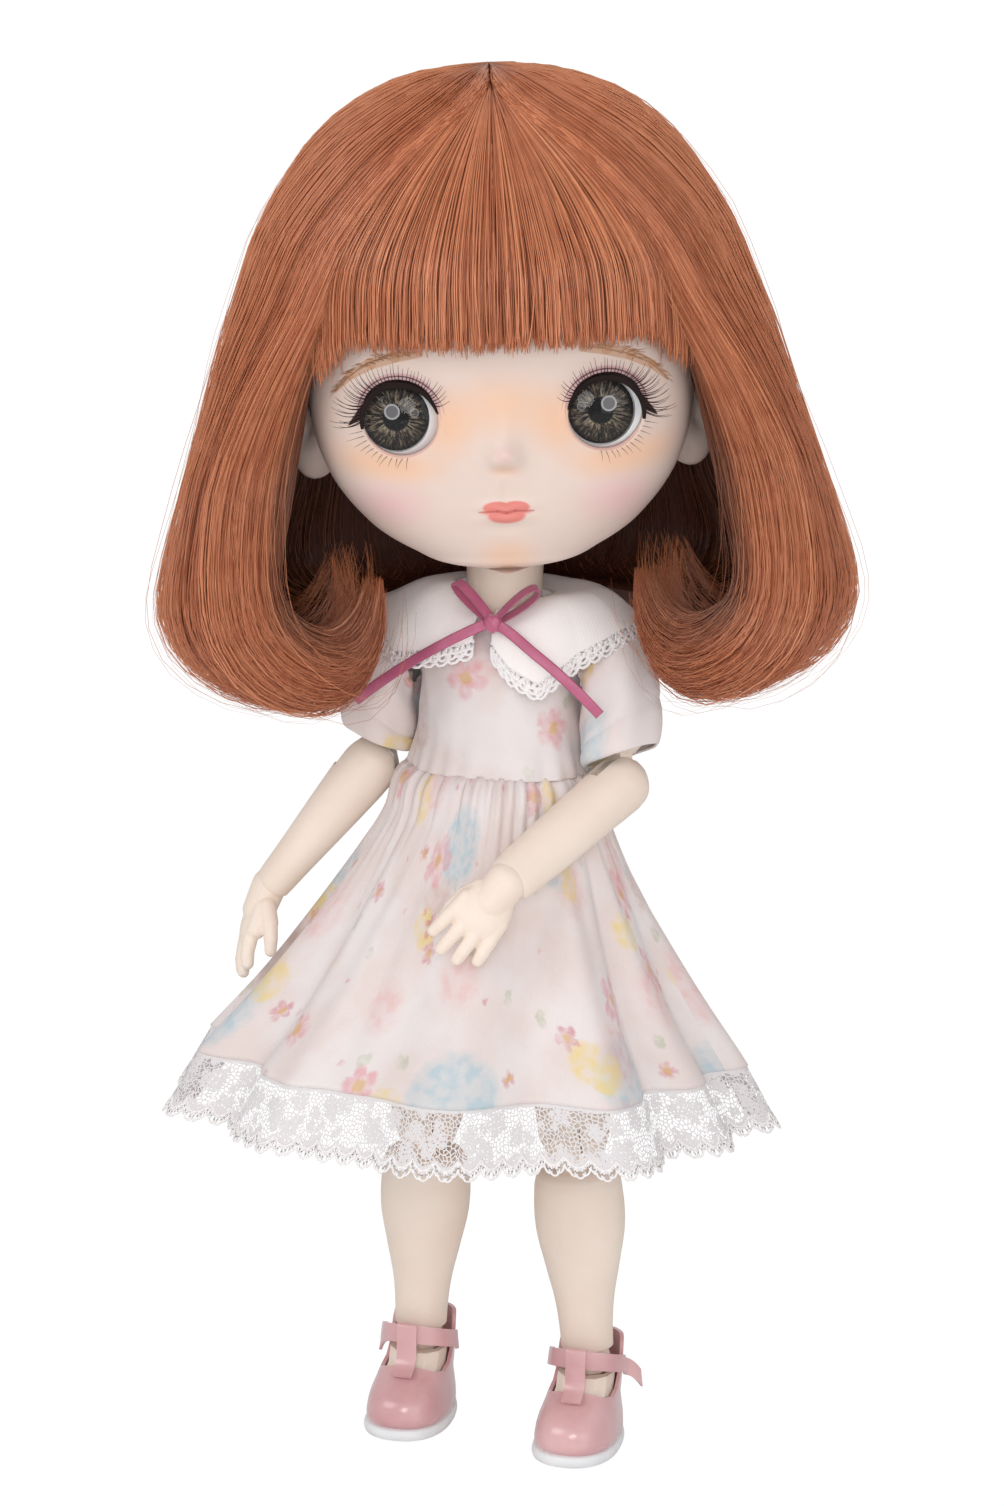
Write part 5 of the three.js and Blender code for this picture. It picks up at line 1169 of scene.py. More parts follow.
mirror = HEAD @ Matrix.Scale(-1, 4, (1, 0, 0))
for side, name in eye_names.items():
    of = HEAD if side > 0 else mirror
    lock = hair_mass(f"hair_{name}", edge_at, level_edge(back_edge + 2), 40)
    dress_hair(lock, copper_mass, of, f"wig_{name}")
    for layer in range(2):
        strands = hair_fibres(
            f"hair_{name}_fibres_{layer}", edge_at, level_edge(back_edge + 2), 1000,
            seed=20 + layer + (side < 0) * 7, clumps=34, fly=150, rim_part=0.3,
        )
        dress_hair(strands, copper_fibre, of)
        if side < 0:
            strands.data.flip_normals()
    if side < 0:
        lock.data.flip_normals()
# The back mass's curled end gets painted shade.
behind = hair_mass("hair_back", level_edge(back_edge - 1), level_edge(361 - back_edge), 56, painted_shade_at_end=5)
dress_hair(behind, copper_mass, HEAD, "wig_back")
for layer in range(2):
    strands = hair_fibres(
        f"hair_back_fibres_{layer}", level_edge(back_edge - 12), level_edge(372 - back_edge), 900,
        seed=40 + layer, clumps=40, fly=60, tips=2.2,
    )
    dress_hair(strands, copper_fibre)

# Rows of the fringe give its reach and height, and how wide it fans in degrees
fringe_drop, fringe_reach, fringe_thickness = 17.4, 50.3, 5.6
fringe_rows = [
    (0.285, 0.925, 6), (0.495, 0.845, 18), (0.7, 0.705, 30), (0.855, 0.53, 39), (0.982, 0.305, 45),
    (1, 0.08, 46.5), (0.998, 0, 46.5),
]
fringe_table = np.column_stack([np.arange(len(fringe_rows)), fringe_rows])
fringe_last = len(fringe_rows) - 1


def fringe_flow(swing, row, depth, out=0.0, drop=0.0):
    reach, height, fan = np.moveaxis(between(fringe_table, row), -1, 0)
    angle = np.radians(fan * swing)
    far = reach * fringe_reach - depth * fringe_thickness * (1 - height / 2) + out
    level = fringe_drop + (hair_top - fringe_drop) * height - depth * fringe_thickness * height
    level = level + out * height - drop
    return np.stack([np.sin(angle) * far, -np.cos(angle) * far, level], -1), angle


row = np.linspace(0, fringe_last, 40)
rings, facts = [], []
for swing in np.linspace(-1, 1, 60):
    thin = rise(row, fringe_last - 2.2, fringe_last - 0.6)
    low = -5 * rise(abs(swing), 0.8, 1.05) * rise(row, 2, fringe_last)
    outer = fringe_flow(swing, row, 0.12 + 0.2 * thin, 0 * row, -3.4 * thin - low)[0]
    inner = fringe_flow(swing, row, 0.85 - 0.4 * thin, 0 * row, -3.4 * thin - low)[0]
    rings.append(np.concatenate([outer, inner[::-1]]))
    flow = np.stack([swing * 46 + 0 * row, row * 3, 0 * row], -1)
    # The inner faces of the fringe get the painted shade too.
    facts.append(np.concatenate([flow, flow[::-1] + (0, 0, 5)]))
fringe = closed_grid("fringe", rings, {"flow": facts})
dress_hair(fringe, copper_mass, HEAD, "wig_fringe")
luck = np.random.default_rng(61)
count, steps = 1500, 22
t = np.linspace(0, 1, steps)
swing = luck.uniform(-1.1, 1.1, count)
clump = (np.floor(swing * 13) + luck.uniform(0.2, 0.8, count)) / 13
swings = swing[:, None] + (clump - swing)[:, None] * 0.32 * rise(t, 0.2, 1)
swaying = luck.normal(0, 0.02, count)
sway = np.sin(4 * t[None] + luck.uniform(0, 6, count)[:, None]) * t[None]
swings = swings + swaying[:, None] * sway
start = luck.random(count) ** 2 * 0.5
row = start[:, None] + t[None] * (fringe_last - start)[:, None]
depth = np.where(luck.random(count) < 0.7, luck.uniform(-0.05, 0.2, count), luck.uniform(0, 0.8, count))
drop = luck.normal(0.1, 0.7, count)[:, None] * rise(t, 0.6, 1)[None]
drop = drop + (luck.uniform(4, 8, count) * rise(np.abs(swing), 0.8, 1.05))[:, None] * rise(t, 0.3, 1)[None]
out = luck.uniform(-0.1, 0.5, count)[:, None]
lines, angle = fringe_flow(swings, row, depth[:, None] + 0 * row, out, drop)
across = np.stack([np.cos(angle), np.sin(angle), 0 * angle], -1)
taper = np.interp(t, [0, 0.05, 0.9, 1], [0.4, 1, 0.8, 0.25])[None]
widths = 0.5 * luck.uniform(0.5, 1.2, count)[:, None] * taper
dress_hair(fibres("fringe_fibres", lines, across, widths, thin=0.55, seed=62), copper_fibre)

# ---------------------------------------------------------------------------
# Neck, forearms, shins and hands. All are cast in the same vinyl as the body.
# The fingers are separate and a little bent, and the hand beds in the forearm.
# ---------------------------------------------------------------------------
arm_swing, arm_raise, arm_twist = {1: 13, -1: 4.5}, {1: 8, -1: 6.5}, {1: -42, -1: -84}
elbow_bend, wrist_turn, wrist_bend = {1: 56, -1: 30}, {1: -14, -1: 30}, {1: 18, -1: 8}
leg_swing, leg_spread = {1: -2.6, -1: -4.74}, {1: 4.4, -1: 1.9}


def joint_frame(name, *turns):
    """A frame at a joint, turned about its own axes one after another."""
    made = Matrix.Translation(joint_place(name))
    for axis, degrees in turns:
        made = made @ turned(axis, degrees)
    return made


TRUNK, NECK = joint_frame("waist_bend"), joint_frame("neck_lean")
UPPER_ARM, FOREARM, HAND, SHIN, FOOT = {}, {}, {}, {}, {}
for side, name in eye_names.items():
    turns = [("X", -arm_swing[side]), ("Y", -side * arm_raise[side])]
    UPPER_ARM[side] = joint_frame(f"shoulder_swing_{name}", *turns)
    turns += [("Z", arm_twist[side]), ("X", -elbow_bend[side])]
    FOREARM[side] = joint_frame(f"elbow_bend_{name}", *turns)
    turns += [("Z", wrist_turn[side]), ("X", wrist_bend[side])]
    HAND[side] = joint_frame(f"wrist_bend_{name}", *turns)
    turns = [("X", -leg_swing[side]), ("Y", -side * leg_spread[side])]
    SHIN[side] = joint_frame(f"knee_bend_{name}", *turns)
    FOOT[side] = joint_frame(f"ankle_bend_{name}")


def heal(piece, degrees=40):
    """Welds doubled points, turns all faces outward and shades the piece smooth."""
    whole = bmesh.new()
    whole.from_mesh(piece.data)
    bmesh.ops.remove_doubles(whole, verts=whole.verts, dist=0.001)
    bmesh.ops.recalc_face_normals(whole, faces=whole.faces)
    whole.to_mesh(piece.data)
    whole.free()
    return smooth(piece, degrees)


def lathe(name, profile, steps=72):
    """A piece turned about its own Z from pairs of radius and height."""
    made = bpy.data.meshes.new(name)
    spots = [(radius, 0, height) for radius, height in profile]
    made.from_pydata(spots, [(i, i + 1) for i in range(len(spots) - 1)], [])
    piece = bpy.data.objects.new(name, made)
    bpy.context.scene.collection.objects.link(piece)
    spin = piece.modifiers.new("spin", "SCREW")
    spin.steps = spin.render_steps = steps
    return heal(apply_all(piece))


def levelled_ball(name, rows, segments, rings):
    """A ball with its rings at levels between the first row and the last."""
    piece = new_ball(segments, rings)
    piece.name = name
    spots = points_of(piece)
    ring = np.arccos(np.clip(-spots[:, 2], -1, 1)) / math.pi * rings
    share = np.clip((ring - 1) / (rings - 2), 0, 1)
    level = rows[0][0] + (rows[-1][0] - rows[0][0]) * share
    around = np.arctan2(spots[:, 0], -spots[:, 1])
    pole = (ring < 0.5) | (ring > rings - 0.5)
    return piece, level, between(rows, level).T, np.sin(around), np.cos(around), pole


def drawn_limb(name, rows):
    """A limb drawn through rows of height, half width, reach to the front and to the back."""
    piece, level, (width, front, back), sine, cosine, pole = levelled_ball(name, rows, 64, 72)
    x = np.where(pole, 0, width * sine)
    y = np.where(pole, (back - front) / 2, -np.where(cosine > 0, front, back) * cosine)
    move_to(piece, np.column_stack([x, y, level]))
    return piece


def join_parts(parts):
    """Joins pieces into the first of them."""
    bpy.ops.object.select_all(action="DESELECT")
    for part in parts:
        part.select_set(True)
    bpy.context.view_layer.objects.active = parts[0]
    bpy.ops.object.join()
    return parts[0]

neck_radius, neck_ball_radius, neck_top = 8.1, 8.4, 17.3
profile = [(neck_ball_radius * math.sin(a), -neck_ball_radius * math.cos(a)) for a in np.linspace(0, 1.5, 12)]
profile += [(neck_radius + 0.25 * ((z - 9) / 8) ** 2, z) for z in np.linspace(3, neck_top - 0.5, 12)]
profile += [(neck_radius - 0.3, neck_top), (0, neck_top)]
finish_piece(lathe("neck_vinyl", profile), NECK, skin_vinyl, "neck", "neck")

elbow_radius, forearm_length, wrist_seat = 6.2, 37, 1.3
tongue_half, elbow_disc_radius = 2.5, 5.6
forearm_rows = [
    (-0.155, 0.03), (-0.148, 0.3), (-0.13, 0.5), (-0.075, 0.86), (0, 1), (0.1, 1.01), (0.25, 0.97),
    (0.5, 0.9), (0.8, 0.8), (0.9, 0.765), (0.96, 0.735), (0.99, 0.7), (1, 0.65),
]
wrist_width, wrist_depth, palm_turn = 1.13, 0.87, {1: 66, -1: 18}
calf_half, shin_length = 9.7, 51.5
shin_rows = [
    (0.15, 0.72, 0.62, 0.68), (0.17, 0.88, 0.76, 0.86), (0.2, 0.95, 0.84, 0.98), (0.27, 1.0, 0.88, 1.07),
    (0.42, 1, 0.88, 1.1), (0.58, 0.84, 0.76, 0.92), (0.75, 0.66, 0.62, 0.68), (0.87, 0.6, 0.59, 0.6),
    (0.945, 0.59, 0.58, 0.58),
]
shin_heights = [
    (-z * shin_length, w * calf_half, f * calf_half, b * calf_half) for z, w, f, b in reversed(shin_rows)
]
knee_disc_radius, knee_tongue_half = 7.5, 3.1


def block(low, high):
    """A box cutter between two corners."""
    bpy.ops.mesh.primitive_cube_add(size=1)
    made = bpy.context.object
    size = np.array(high) - np.array(low)
    move_to(made, points_of(made) * size + (np.array(high) + np.array(low)) / 2)
    return made


def disc(radius, width):
    """A round cutter across the limb."""
    bpy.ops.mesh.primitive_cylinder_add(vertices=64, radius=radius, depth=width, rotation=(0, math.pi / 2, 0))
    return freeze(bpy.context.object)


def capsule(start, end, start_radius, end_radius):
    """A round-ended length of finger."""
    ball = new_ball(24, 16)
    start, end = Vector(start), Vector(end)
    turn = np.array((end - start).to_track_quat("Z", "Y").to_matrix())
    spots = points_of(ball)
    ahead = spots[:, 2:] > 0
    made = spots * np.where(ahead, end_radius, start_radius) @ turn.T
    move_to(ball, made + np.where(ahead, np.array(end), np.array(start)))
    return ball


# Each finger: where it leaves the palm across it, its length and how it splays
finger_rows = [(-4.6, 9.5, -6), (-1.6, 10.4, -2), (1.45, 10.0, 2.5), (4.35, 8.6, 7)]
palm_half_width, palm_half_depth, finger_radius, knuckle_drop = 6.2, 2.6, 1.68, 10.2
finger_spread = {1: 1.0, -1: 0.55}
hand_turn = {1: (81.4, 7.9, 19.1), -1: (-12.4, -20.6, 5.3)}
for side, name in eye_names.items():
    length = forearm_length - wrist_seat
    table = np.array(forearm_rows)
    levels = np.linspace(table[0, 0], 1, 60)
    radii = between(table, levels)[:, 0] * elbow_radius
    profile = [(0, -table[0, 0] * length)] + [(r, -z * length) for r, z in zip(radii, levels)]
    forearm = lathe(f"forearm_vinyl_{name}", profile + [(0, -length)])
    cut_with(forearm, disc(elbow_disc_radius, 2 * tongue_half))
    cut_with(forearm, block((-tongue_half, -40, 0), (tongue_half, 40, 40)))
    cut_with(forearm, block((-tongue_half, -40, -elbow_disc_radius), (tongue_half, 0, elbow_disc_radius / 2)))
    spots = points_of(forearm)
    flatter = rise(-spots[:, 2] / length, 0.1, 0.95)
    turn = math.radians(palm_turn[side])
    ways = np.array([(math.cos(turn), math.sin(turn)), (-math.sin(turn), math.cos(turn))])
    local_xy = spots[:, :2] @ ways.T
    local_xy *= np.column_stack([1 + (wrist_width - 1) * flatter, 1 + (wrist_depth - 1) * flatter])
    spots[:, :2] = local_xy @ ways
    move_to(forearm, spots)
    finish_piece(heal(forearm), FOREARM[side], skin_vinyl, f"forearm_{name}", f"forearm_{name}")

    shin = drawn_limb(f"shin_vinyl_{name}", shin_heights)
    cut_with(shin, disc(knee_disc_radius, 2 * knee_tongue_half), "UNION")
    neck = block((-knee_tongue_half, -4, -11), (knee_tongue_half, 4, -3.7))
    cut_with(shin, neck, "UNION")
    finish_piece(heal(shin), SHIN[side], skin_vinyl, f"shin_{name}", f"shin_{name}")

    palm = new_ball(32, 24)
    spots = points_of(palm)
    spots = np.sign(spots) * np.abs(spots) ** (0.86, 1, 0.86)
    spread, palm_half_length = finger_spread[side], 6.4
    size = np.array([palm_half_width * (0.4 + 0.6 * spread), palm_half_depth, palm_half_length])
    narrowed = spots * size
    narrowed[:, 0] *= 0.86 + 0.14 * rise(-spots[:, 2], -0.6, 0.5)
    move_to(palm, narrowed - (0, 0, palm_half_length))
    stub = capsule((0, 0, 1.0), (0, 0, -4.6), 3.9, 3.7)
    move_to(stub, points_of(stub) * (1.14, 0.98, 1))
    heel = capsule((side * -2.6, 0.3, -4), (side * -3.4, 0.4, -9), 2.5, 2.1)
    parts = [palm, stub, heel]
    for across, reach, splay in finger_rows:
        lean = math.radians(splay * side * spread)
        place = Vector((side * across * spread, 0, -knuckle_drop + 2.2 + 0.06 * across * across))
        swing, width = math.radians(2), finger_radius
        for share, curl in ((0.5, 9), (0.3, 13), (0.24, 10)):
            step = Vector((math.sin(lean), math.sin(swing), -math.cos(swing))) * reach * share
            parts.append(capsule(place, place + step, width * 1.06, width * 0.94))
            place, swing, width = place + step, swing + math.radians(curl), width * 0.92
    thumb = Vector((-side * 3.6, 0.6, -3.4))
    for step, width in (((-1.6, 1.7, -3.0), 2.0), ((-0.6, 1.5, -3.4), 1.7), ((0.2, 0.9, -2.2), 1.45)):
        ahead = thumb + Vector((side * step[0], step[1], step[2]))
        parts.append(capsule(thumb, ahead, width, width * 0.92))
        thumb = ahead
    hand = join_parts(parts)
    hand.name = f"hand_vinyl_{name}"
    fused = hand.modifiers.new("fused", "REMESH")
    fused.mode, fused.voxel_size = "VOXEL", 0.2
    evened = hand.modifiers.new("evened", "SMOOTH")
    evened.factor, evened.iterations = 0.6, 9
    apply_all(hand)
    place = HAND[side]
    for axis, degrees in zip("ZYX", hand_turn[side]):
        place = place @ turned(axis, degrees)
    finish_piece(heal(hand, 80), place, skin_vinyl, f"hand_{name}", f"hand_{name}")

# ---------------------------------------------------------------------------
# Dress. Light cotton lawn with a soft scattered print: a fitted bodice, short
# set-in sleeves with a turned hem, and a full skirt gathered into the waist seam.
# ---------------------------------------------------------------------------
flower, given, result = new_group(
    "flower",
    [("Vector", "Vector"), ("Cell", "Float"), ("Petals", "Float"), ("Reach", "Float"), ("Share", "Float"),
     ("Softness", "Float")],
    [("Mask", "Float"), ("Middle", "Float"), ("Luck", "Color")],
)
small = vectors(flower, "SCALE", given["Vector"], Scale=calc(flower, "DIVIDE", 1.0, given["Cell"]))
cells = node(
    flower, "TexVoronoi", {"Vector": small, "Scale": 1.0, "Randomness": 0.75},
    voronoi_dimensions="2D",
)
off = vectors(flower, "SUBTRACT", small, cells.outputs["Position"])
split = node(flower, "SeparateXYZ", {0: off}).outputs
luck = node(flower, "SeparateColor", {0: cells.outputs["Color"]}).outputs
far = distance(flower, split["X"], split["Y"])
angle = calc(flower, "ARCTAN2", split["Y"], split["X"])
angle = calc(flower, "ADD", angle, calc(flower, "MULTIPLY", luck[1], 6.3))
waves = calc(flower, "MULTIPLY", angle, calc(flower, "MULTIPLY", given["Petals"], 0.5))
petal = calc(flower, "POWER", calc(flower, "ABSOLUTE", calc(flower, "COSINE", waves)), 0.6)
size = calc(flower, "MULTIPLY", given["Reach"], calc(flower, "MULTIPLY_ADD", luck[2], 0.4, 0.7))
edge = calc(flower, "MULTIPLY", calc(flower, "MULTIPLY_ADD", petal, 0.45, 0.55), size)
inside = calc(flower, "DIVIDE", calc(flower, "SUBTRACT", edge, far), given["Softness"])
inside = node(flower, "Clamp", {"Value": inside}).outputs[0]
shown = calc(flower, "LESS_THAN", luck[0], given["Share"])
flower.links.new(calc(flower, "MULTIPLY", inside, shown), result["Mask"])
core = calc(flower, "MULTIPLY", calc(flower, "SUBTRACT", 0.075, far), 30.0)
core = node(flower, "Clamp", {"Value": core}).outputs[0]
flower.links.new(calc(flower, "MULTIPLY", core, shown), result["Middle"])
flower.links.new(cells.outputs["Color"], result["Luck"])
def flowers(tree, flat, cell, petals, reach, share, soft):
    """Flowers scattered on cloth, one to a cell; petals 0 gives round spots."""
    feeds = {
        "Vector": flat, "Cell": cell, "Petals": petals, "Reach": reach, "Share": share, "Softness": soft
    }
    return node(tree, "Group", feeds, node_tree=flower).outputs
def woven(tree, shader, flat, pitch, strength, depth):
    """The relief of a plain weave, with its threads pitch apart."""
    split = node(tree, "SeparateXYZ", {0: flat}).outputs
    threads = [
        calc(tree, "SINE", calc(tree, "MULTIPLY", split[way], 2 * math.pi / pitch)) for way in ("X", "Y")
    ]
    weave = calc(tree, "MAXIMUM", *threads)
    slub = noise(tree, flat, 1.3, 3)
    relief = calc(tree, "MULTIPLY_ADD", slub, 1.2, calc(tree, "MULTIPLY", weave, 0.5))
    bump(tree, shader, relief, strength, depth)
    return slub


def cotton(name, ground, printed=True):
    """Cotton lawn whose UV is its flat cut in millimetres."""
    made, tree, shader, place = finish(name, 0.85, Sheen_Weight=0.15, Specular_IOR_Level=0.25)
    flat = node(tree, "UVMap").outputs[0]
    slub = woven(tree, shader, flat, 0.42, 0.35, 0.00006)
    tone = paint_over(tree, ground, slub, tuple(c * 0.93 for c in ground[:3]) + (1,), 0.5)
    if printed:
        pale = ramp(tree, noise(tree, flat, 0.055, 3), 0.42, 0.6)
        tone = paint_over(tree, tone, pale, rgb(233, 228, 228), 0.65)
        wander = node(tree, "TexNoise", {"Vector": flat, "Scale": 0.55, "Detail": 4}).outputs["Color"]
        wander = vectors(tree, "SUBTRACT", wander, (0.5, 0.5, 0.5))
        wet = vectors(tree, "ADD", flat, vectors(tree, "SCALE", wander, Scale=2.2))
        washed = ramp(tree, noise(tree, flat, 0.32, 5), 0.36, 0.62, 0.2, 1.0)
        for cell, petals, reach, share, soft, shift, colour, strength in (
            (40, 0, 0.27, 0.8, 0.07, 5, rgb(166, 196, 208), 0.7),
            (33, 0, 0.3, 0.7, 0.12, 41, rgb(226, 180, 178), 0.6),
            (33, 3, 0.22, 0.42, 0.06, 97, rgb(204, 172, 162), 0.55),
            (23, 5, 0.27, 0.3, 0.06, 77, rgb(222, 146, 158), 0.62),
            (26, 2, 0.24, 0.42, 0.05, 171, rgb(232, 206, 132), 0.75),
            (15, 5, 0.2, 0.2, 0.05, 130, rgb(206, 128, 146), 0.7),
            (12, 2, 0.2, 0.22, 0.05, 213, rgb(172, 182, 150), 0.5),
            (9, 1, 0.13, 0.14, 0.05, 260, rgb(206, 120, 140), 0.55),
        ):
            moved = vectors(tree, "ADD", wet, (shift, shift * 0.7, 0))
            blossom = flowers(tree, moved, cell, petals, reach, share, soft)
            wash = calc(tree, "MAXIMUM", washed, 0.45) if cell > 30 else washed
            tone = paint_over(tree, tone, calc(tree, "MULTIPLY", blossom["Mask"], wash), colour, strength)
            if petals == 5:
                tone = paint_over(tree, tone, blossom["Middle"], rgb(214, 170, 90), 0.6)
    tree.links.new(tone, shader.inputs["Base Color"])
    return made


print_cloth = cotton("print_cloth", rgb(228, 214, 210))
plain_cloth = cotton("plain_cloth", rgb(249, 244, 242), printed=False)


def cloth(name, columns, rows, shape, flat, wall=0.45, start=(0, 0)):
    """A sheet of cloth. shape turns shares across and down it into points; flat is its cut size."""
    bpy.ops.mesh.primitive_grid_add(x_subdivisions=columns, y_subdivisions=rows, size=1)
    sheet = bpy.context.object
    sheet.name = name
    spots = points_of(sheet)
    move_to(sheet, shape(spots[:, 0] + 0.5, 0.5 - spots[:, 1]))
    layer = sheet.data.uv_layers[0]
    uv = np.empty(len(layer.data) * 2)
    layer.data.foreach_get("uv", uv)
    uv = uv.reshape(-1, 2) * flat + start
    layer.data.foreach_set("uv", uv.ravel())
    heal(sheet, 60)
    if wall:
        thick = sheet.modifiers.new("thick", "SOLIDIFY")
        thick.thickness, thick.offset = wall, 0
        apply_all(sheet)
    return sheet


seam_rise, neckline = 24, 57.5
bodice_half_width, bodice_half_depth = 19.5, 16
bodice_rows = [
    (0, 1, 1, 1), (0.1, 0.96, 0.97, 0.96), (0.22, 0.92, 0.94, 0.93), (0.4, 0.88, 0.92, 0.9),
    (0.6, 0.88, 0.89, 0.87), (0.74, 0.93, 0.84, 0.84), (0.86, 0.93, 0.76, 0.78), (0.95, 0.78, 0.68, 0.72),
    (1, 0.62, 0.65, 0.66),
]


def bodice_shape(across, down):
    angle, share = across * 2 * math.pi, 1 - down
    width, front, back = np.moveaxis(between(bodice_rows, share), -1, 0)
    c, s = np.cos(angle), np.sin(angle)
    level = seam_rise + (neckline - seam_rise) * share
    low = np.exp(-share / 0.14)
    crease = 0.3 * low * np.sin(23 * angle + 2 * np.sin(3 * angle)) + 0.34 * np.sin(
        3 * angle + 9 * share + 2 * np.sin(5 * angle)
    ) * np.sin(7 * share + 2 * angle)
    x = np.sign(c) * np.abs(c) ** (2 / 2.2) * (width * bodice_half_width + crease)
    depth = np.where(s < 0, front, back) * bodice_half_depth + crease
    return np.column_stack([x, np.sign(s) * np.abs(s) ** (2 / 2.2) * depth, level])


bodice = cloth("dress_bodice", 170, 72, bodice_shape, (112, 34), start=(7, 90))
finish_piece(bodice, TRUNK, print_cloth, "trunk", "bodice")

sleeve_length = 20
# Four rings from the armhole to the hem: middle across and its swing, half depth,
# middle height and its swing.
sleeve_rings = (
    (-6.4, 0, 7.1, 0, 6.9), (-3, 4, 9, 1, 10), (1.5, 10, 10, -2.5, 11.5),
    (0.1, 8.5, 8.7, 0.7 - sleeve_length, 2.1),
)


def bezier(corners, share):
    a, b, c, d = corners
    t = share[:, None]
    return (1 - t) ** 3 * a + 3 * t * (1 - t) ** 2 * b + 3 * t * t * (1 - t) * c + t ** 3 * d


for side, name in eye_names.items():
    def sleeve_shape(across, down):
        angle = across * 2 * math.pi
        c, s = np.cos(angle), np.sin(angle)
        corners = [
            np.column_stack([x + dx * c, y * s, z + dz * c]) for x, dx, y, z, dz in sleeve_rings
        ]
        made = bezier(corners, np.minimum(down * 1.03, 1))
        crease = 0.32 * np.sin(13 * angle + 1.4 * np.sin(3 * angle)) * np.exp(-down / 0.22)
        crease += 0.5 * np.sin(4 * angle + 7 * down + side) * np.sin(2 * angle - 5 * down + 1)
        crease -= 0.35 * np.exp(-(((down - 0.84) / 0.018) ** 2))
        crease -= 1.2 * np.clip((down - 0.9) / 0.1, 0, 1) ** 2
        out = np.column_stack([c, s, 0 * c])
        return (made + out * crease[:, None]) * (side, 1, 1)

    sleeve = cloth(f"dress_sleeve_{name}", 140, 80, sleeve_shape, (58, 32), start=(40 + 60 * side, 20))
    finish_piece(sleeve, UPPER_ARM[side], print_cloth, f"upper_arm_{name}", f"sleeve_{name}")

skirt_length, skirt_half_width, skirt_half_depth = 63, 56, 49
waist_half_width, waist_half_depth, skirt_lean = 20.4, 16.5, -5
fold_count, fold_depth, cloth_gap = 12, 3.3, 0.4
skirt_rows = [(0, 0), (0.1, 0.06), (0.3, 0.23), (0.55, 0.47), (0.8, 0.74), (1, 1)]
lace_height, scallop_depth, scallop_count = 12, 2.0, 84
braid_width, edge_width = 1.5, 1.3


def skirt_point(angle, drop, inset=0.0):
    level = np.clip(drop / skirt_length, 0, 1)
    out = between(skirt_rows, level)[..., 0]
    past = np.maximum(drop - skirt_length, 0)
    slope = (skirt_half_width - waist_half_width) / skirt_length
    fold = fold_depth * rise(level, 0.1, 1) * (
        np.sin(fold_count * angle + 2 * np.sin(2 * angle)) + np.sin(7 * angle + 1) / 2
    )
    gather = 0.7 * np.exp(-drop / 9) * np.sin(46 * angle + 3 * np.sin(5 * angle))
    gather += 0.55 * np.exp(-drop / 17) * np.sin(29 * angle + 2 * np.sin(3 * angle) + 1)
    gather += 0.5 * rise(level, 0.1, 0.5) * np.sin(19 * angle + 3 * np.sin(4 * angle + 2) + 0.03 * drop)
    pleat = np.abs(np.sin(20 * angle + 2.5 * np.sin(5 * angle) + 1.5 * np.sin(3 * angle))) ** 0.5
    gather += 1.5 * (pleat - 0.75) * np.exp(-drop / 12) * np.clip(drop / 1.5, 0, 1)
    puff = 1.5 * np.exp(-(((drop - 4) / 4.5) ** 2)) - 1.1 * np.exp(-drop / 0.9)
    push = fold + gather + puff - inset + past * slope
    x = waist_half_width - 1 + (skirt_half_width - waist_half_width + 1) * out + push
    y = waist_half_depth - 0.6 + (skirt_half_depth - waist_half_depth + 0.6) * out + push
    return np.stack([
        skirt_lean * out + x * np.cos(angle), y * np.sin(angle), seam_rise + 0.9 - cloth_gap - drop
    ], -1)


skirt = cloth(
    "dress_skirt", 500, 62, lambda across, down: skirt_point(across * 2 * math.pi, down * skirt_length),
    (372, 68), start=(3, 160),
)
finish_piece(skirt, TRUNK, print_cloth, "trunk", "skirt")

# ---------------------------------------------------------------------------
# Lace. White cotton lace, machine made: a net with flowers worked solid in it,
# a braid along the top where it is sewn on and looped picots round each scallop.
# ---------------------------------------------------------------------------
lace_threads, tree, shader, place = finish("lace_threads", 0.8, Sheen_Weight=0.2)
flat = node(tree, "UVMap").outputs[0]
split = node(tree, "SeparateXYZ", {0: flat}).outputs
net = node(
    tree, "TexVoronoi", {"Vector": flat, "Scale": 1.2, "Randomness": 0.9},
    feature="DISTANCE_TO_EDGE", voronoi_dimensions="2D",
).outputs[0]
net = calc(tree, "LESS_THAN", net, 0.14)
solid = 0.0
for cell, petals, reach, share in ((5.4, 5, 0.47, 0.9), (3.3, 3, 0.42, 0.55)):
    motif = flowers(tree, flat, cell, petals, reach, share, 0.02)["Mask"]
    solid = calc(tree, "MAXIMUM", solid, motif)
holes = node(tree, "TexVoronoi", {"Vector": flat, "Scale": 1.3}, voronoi_dimensions="2D").outputs["Distance"]
holes = calc(tree, "GREATER_THAN", holes, 0.2)
solid = calc(tree, "MULTIPLY", calc(tree, "GREATER_THAN", solid, 0.5), holes)
braid = calc(tree, "GREATER_THAN", split["Y"], lace_height - braid_width)
rim = calc(tree, "LESS_THAN", split["Y"], edge_width)
shown = calc(tree, "MAXIMUM", calc(tree, "MAXIMUM", net, solid), calc(tree, "MAXIMUM", braid, rim))
fuzz = noise(tree, flat, 3.5, 3)
tone = paint_over(tree, rgb(210, 205, 206), fuzz, rgb(232, 227, 228))
tree.links.new(tone, shader.inputs["Base Color"])
bump(tree, shader, calc(tree, "MULTIPLY_ADD", fuzz, 0.6, solid), 0.5, 0.0001)
tree.links.new(shown, shader.inputs["Alpha"])

picot_thread, tree, shader, place = finish("picot_thread", 0.8, Sheen_Weight=0.2)
fuzz = noise(tree, place, 1500)
tone = paint_over(tree, rgb(234, 229, 229), fuzz, rgb(250, 247, 246))
tree.links.new(tone, shader.inputs["Base Color"])
bump(tree, shader, fuzz, 0.4, 0.00005)


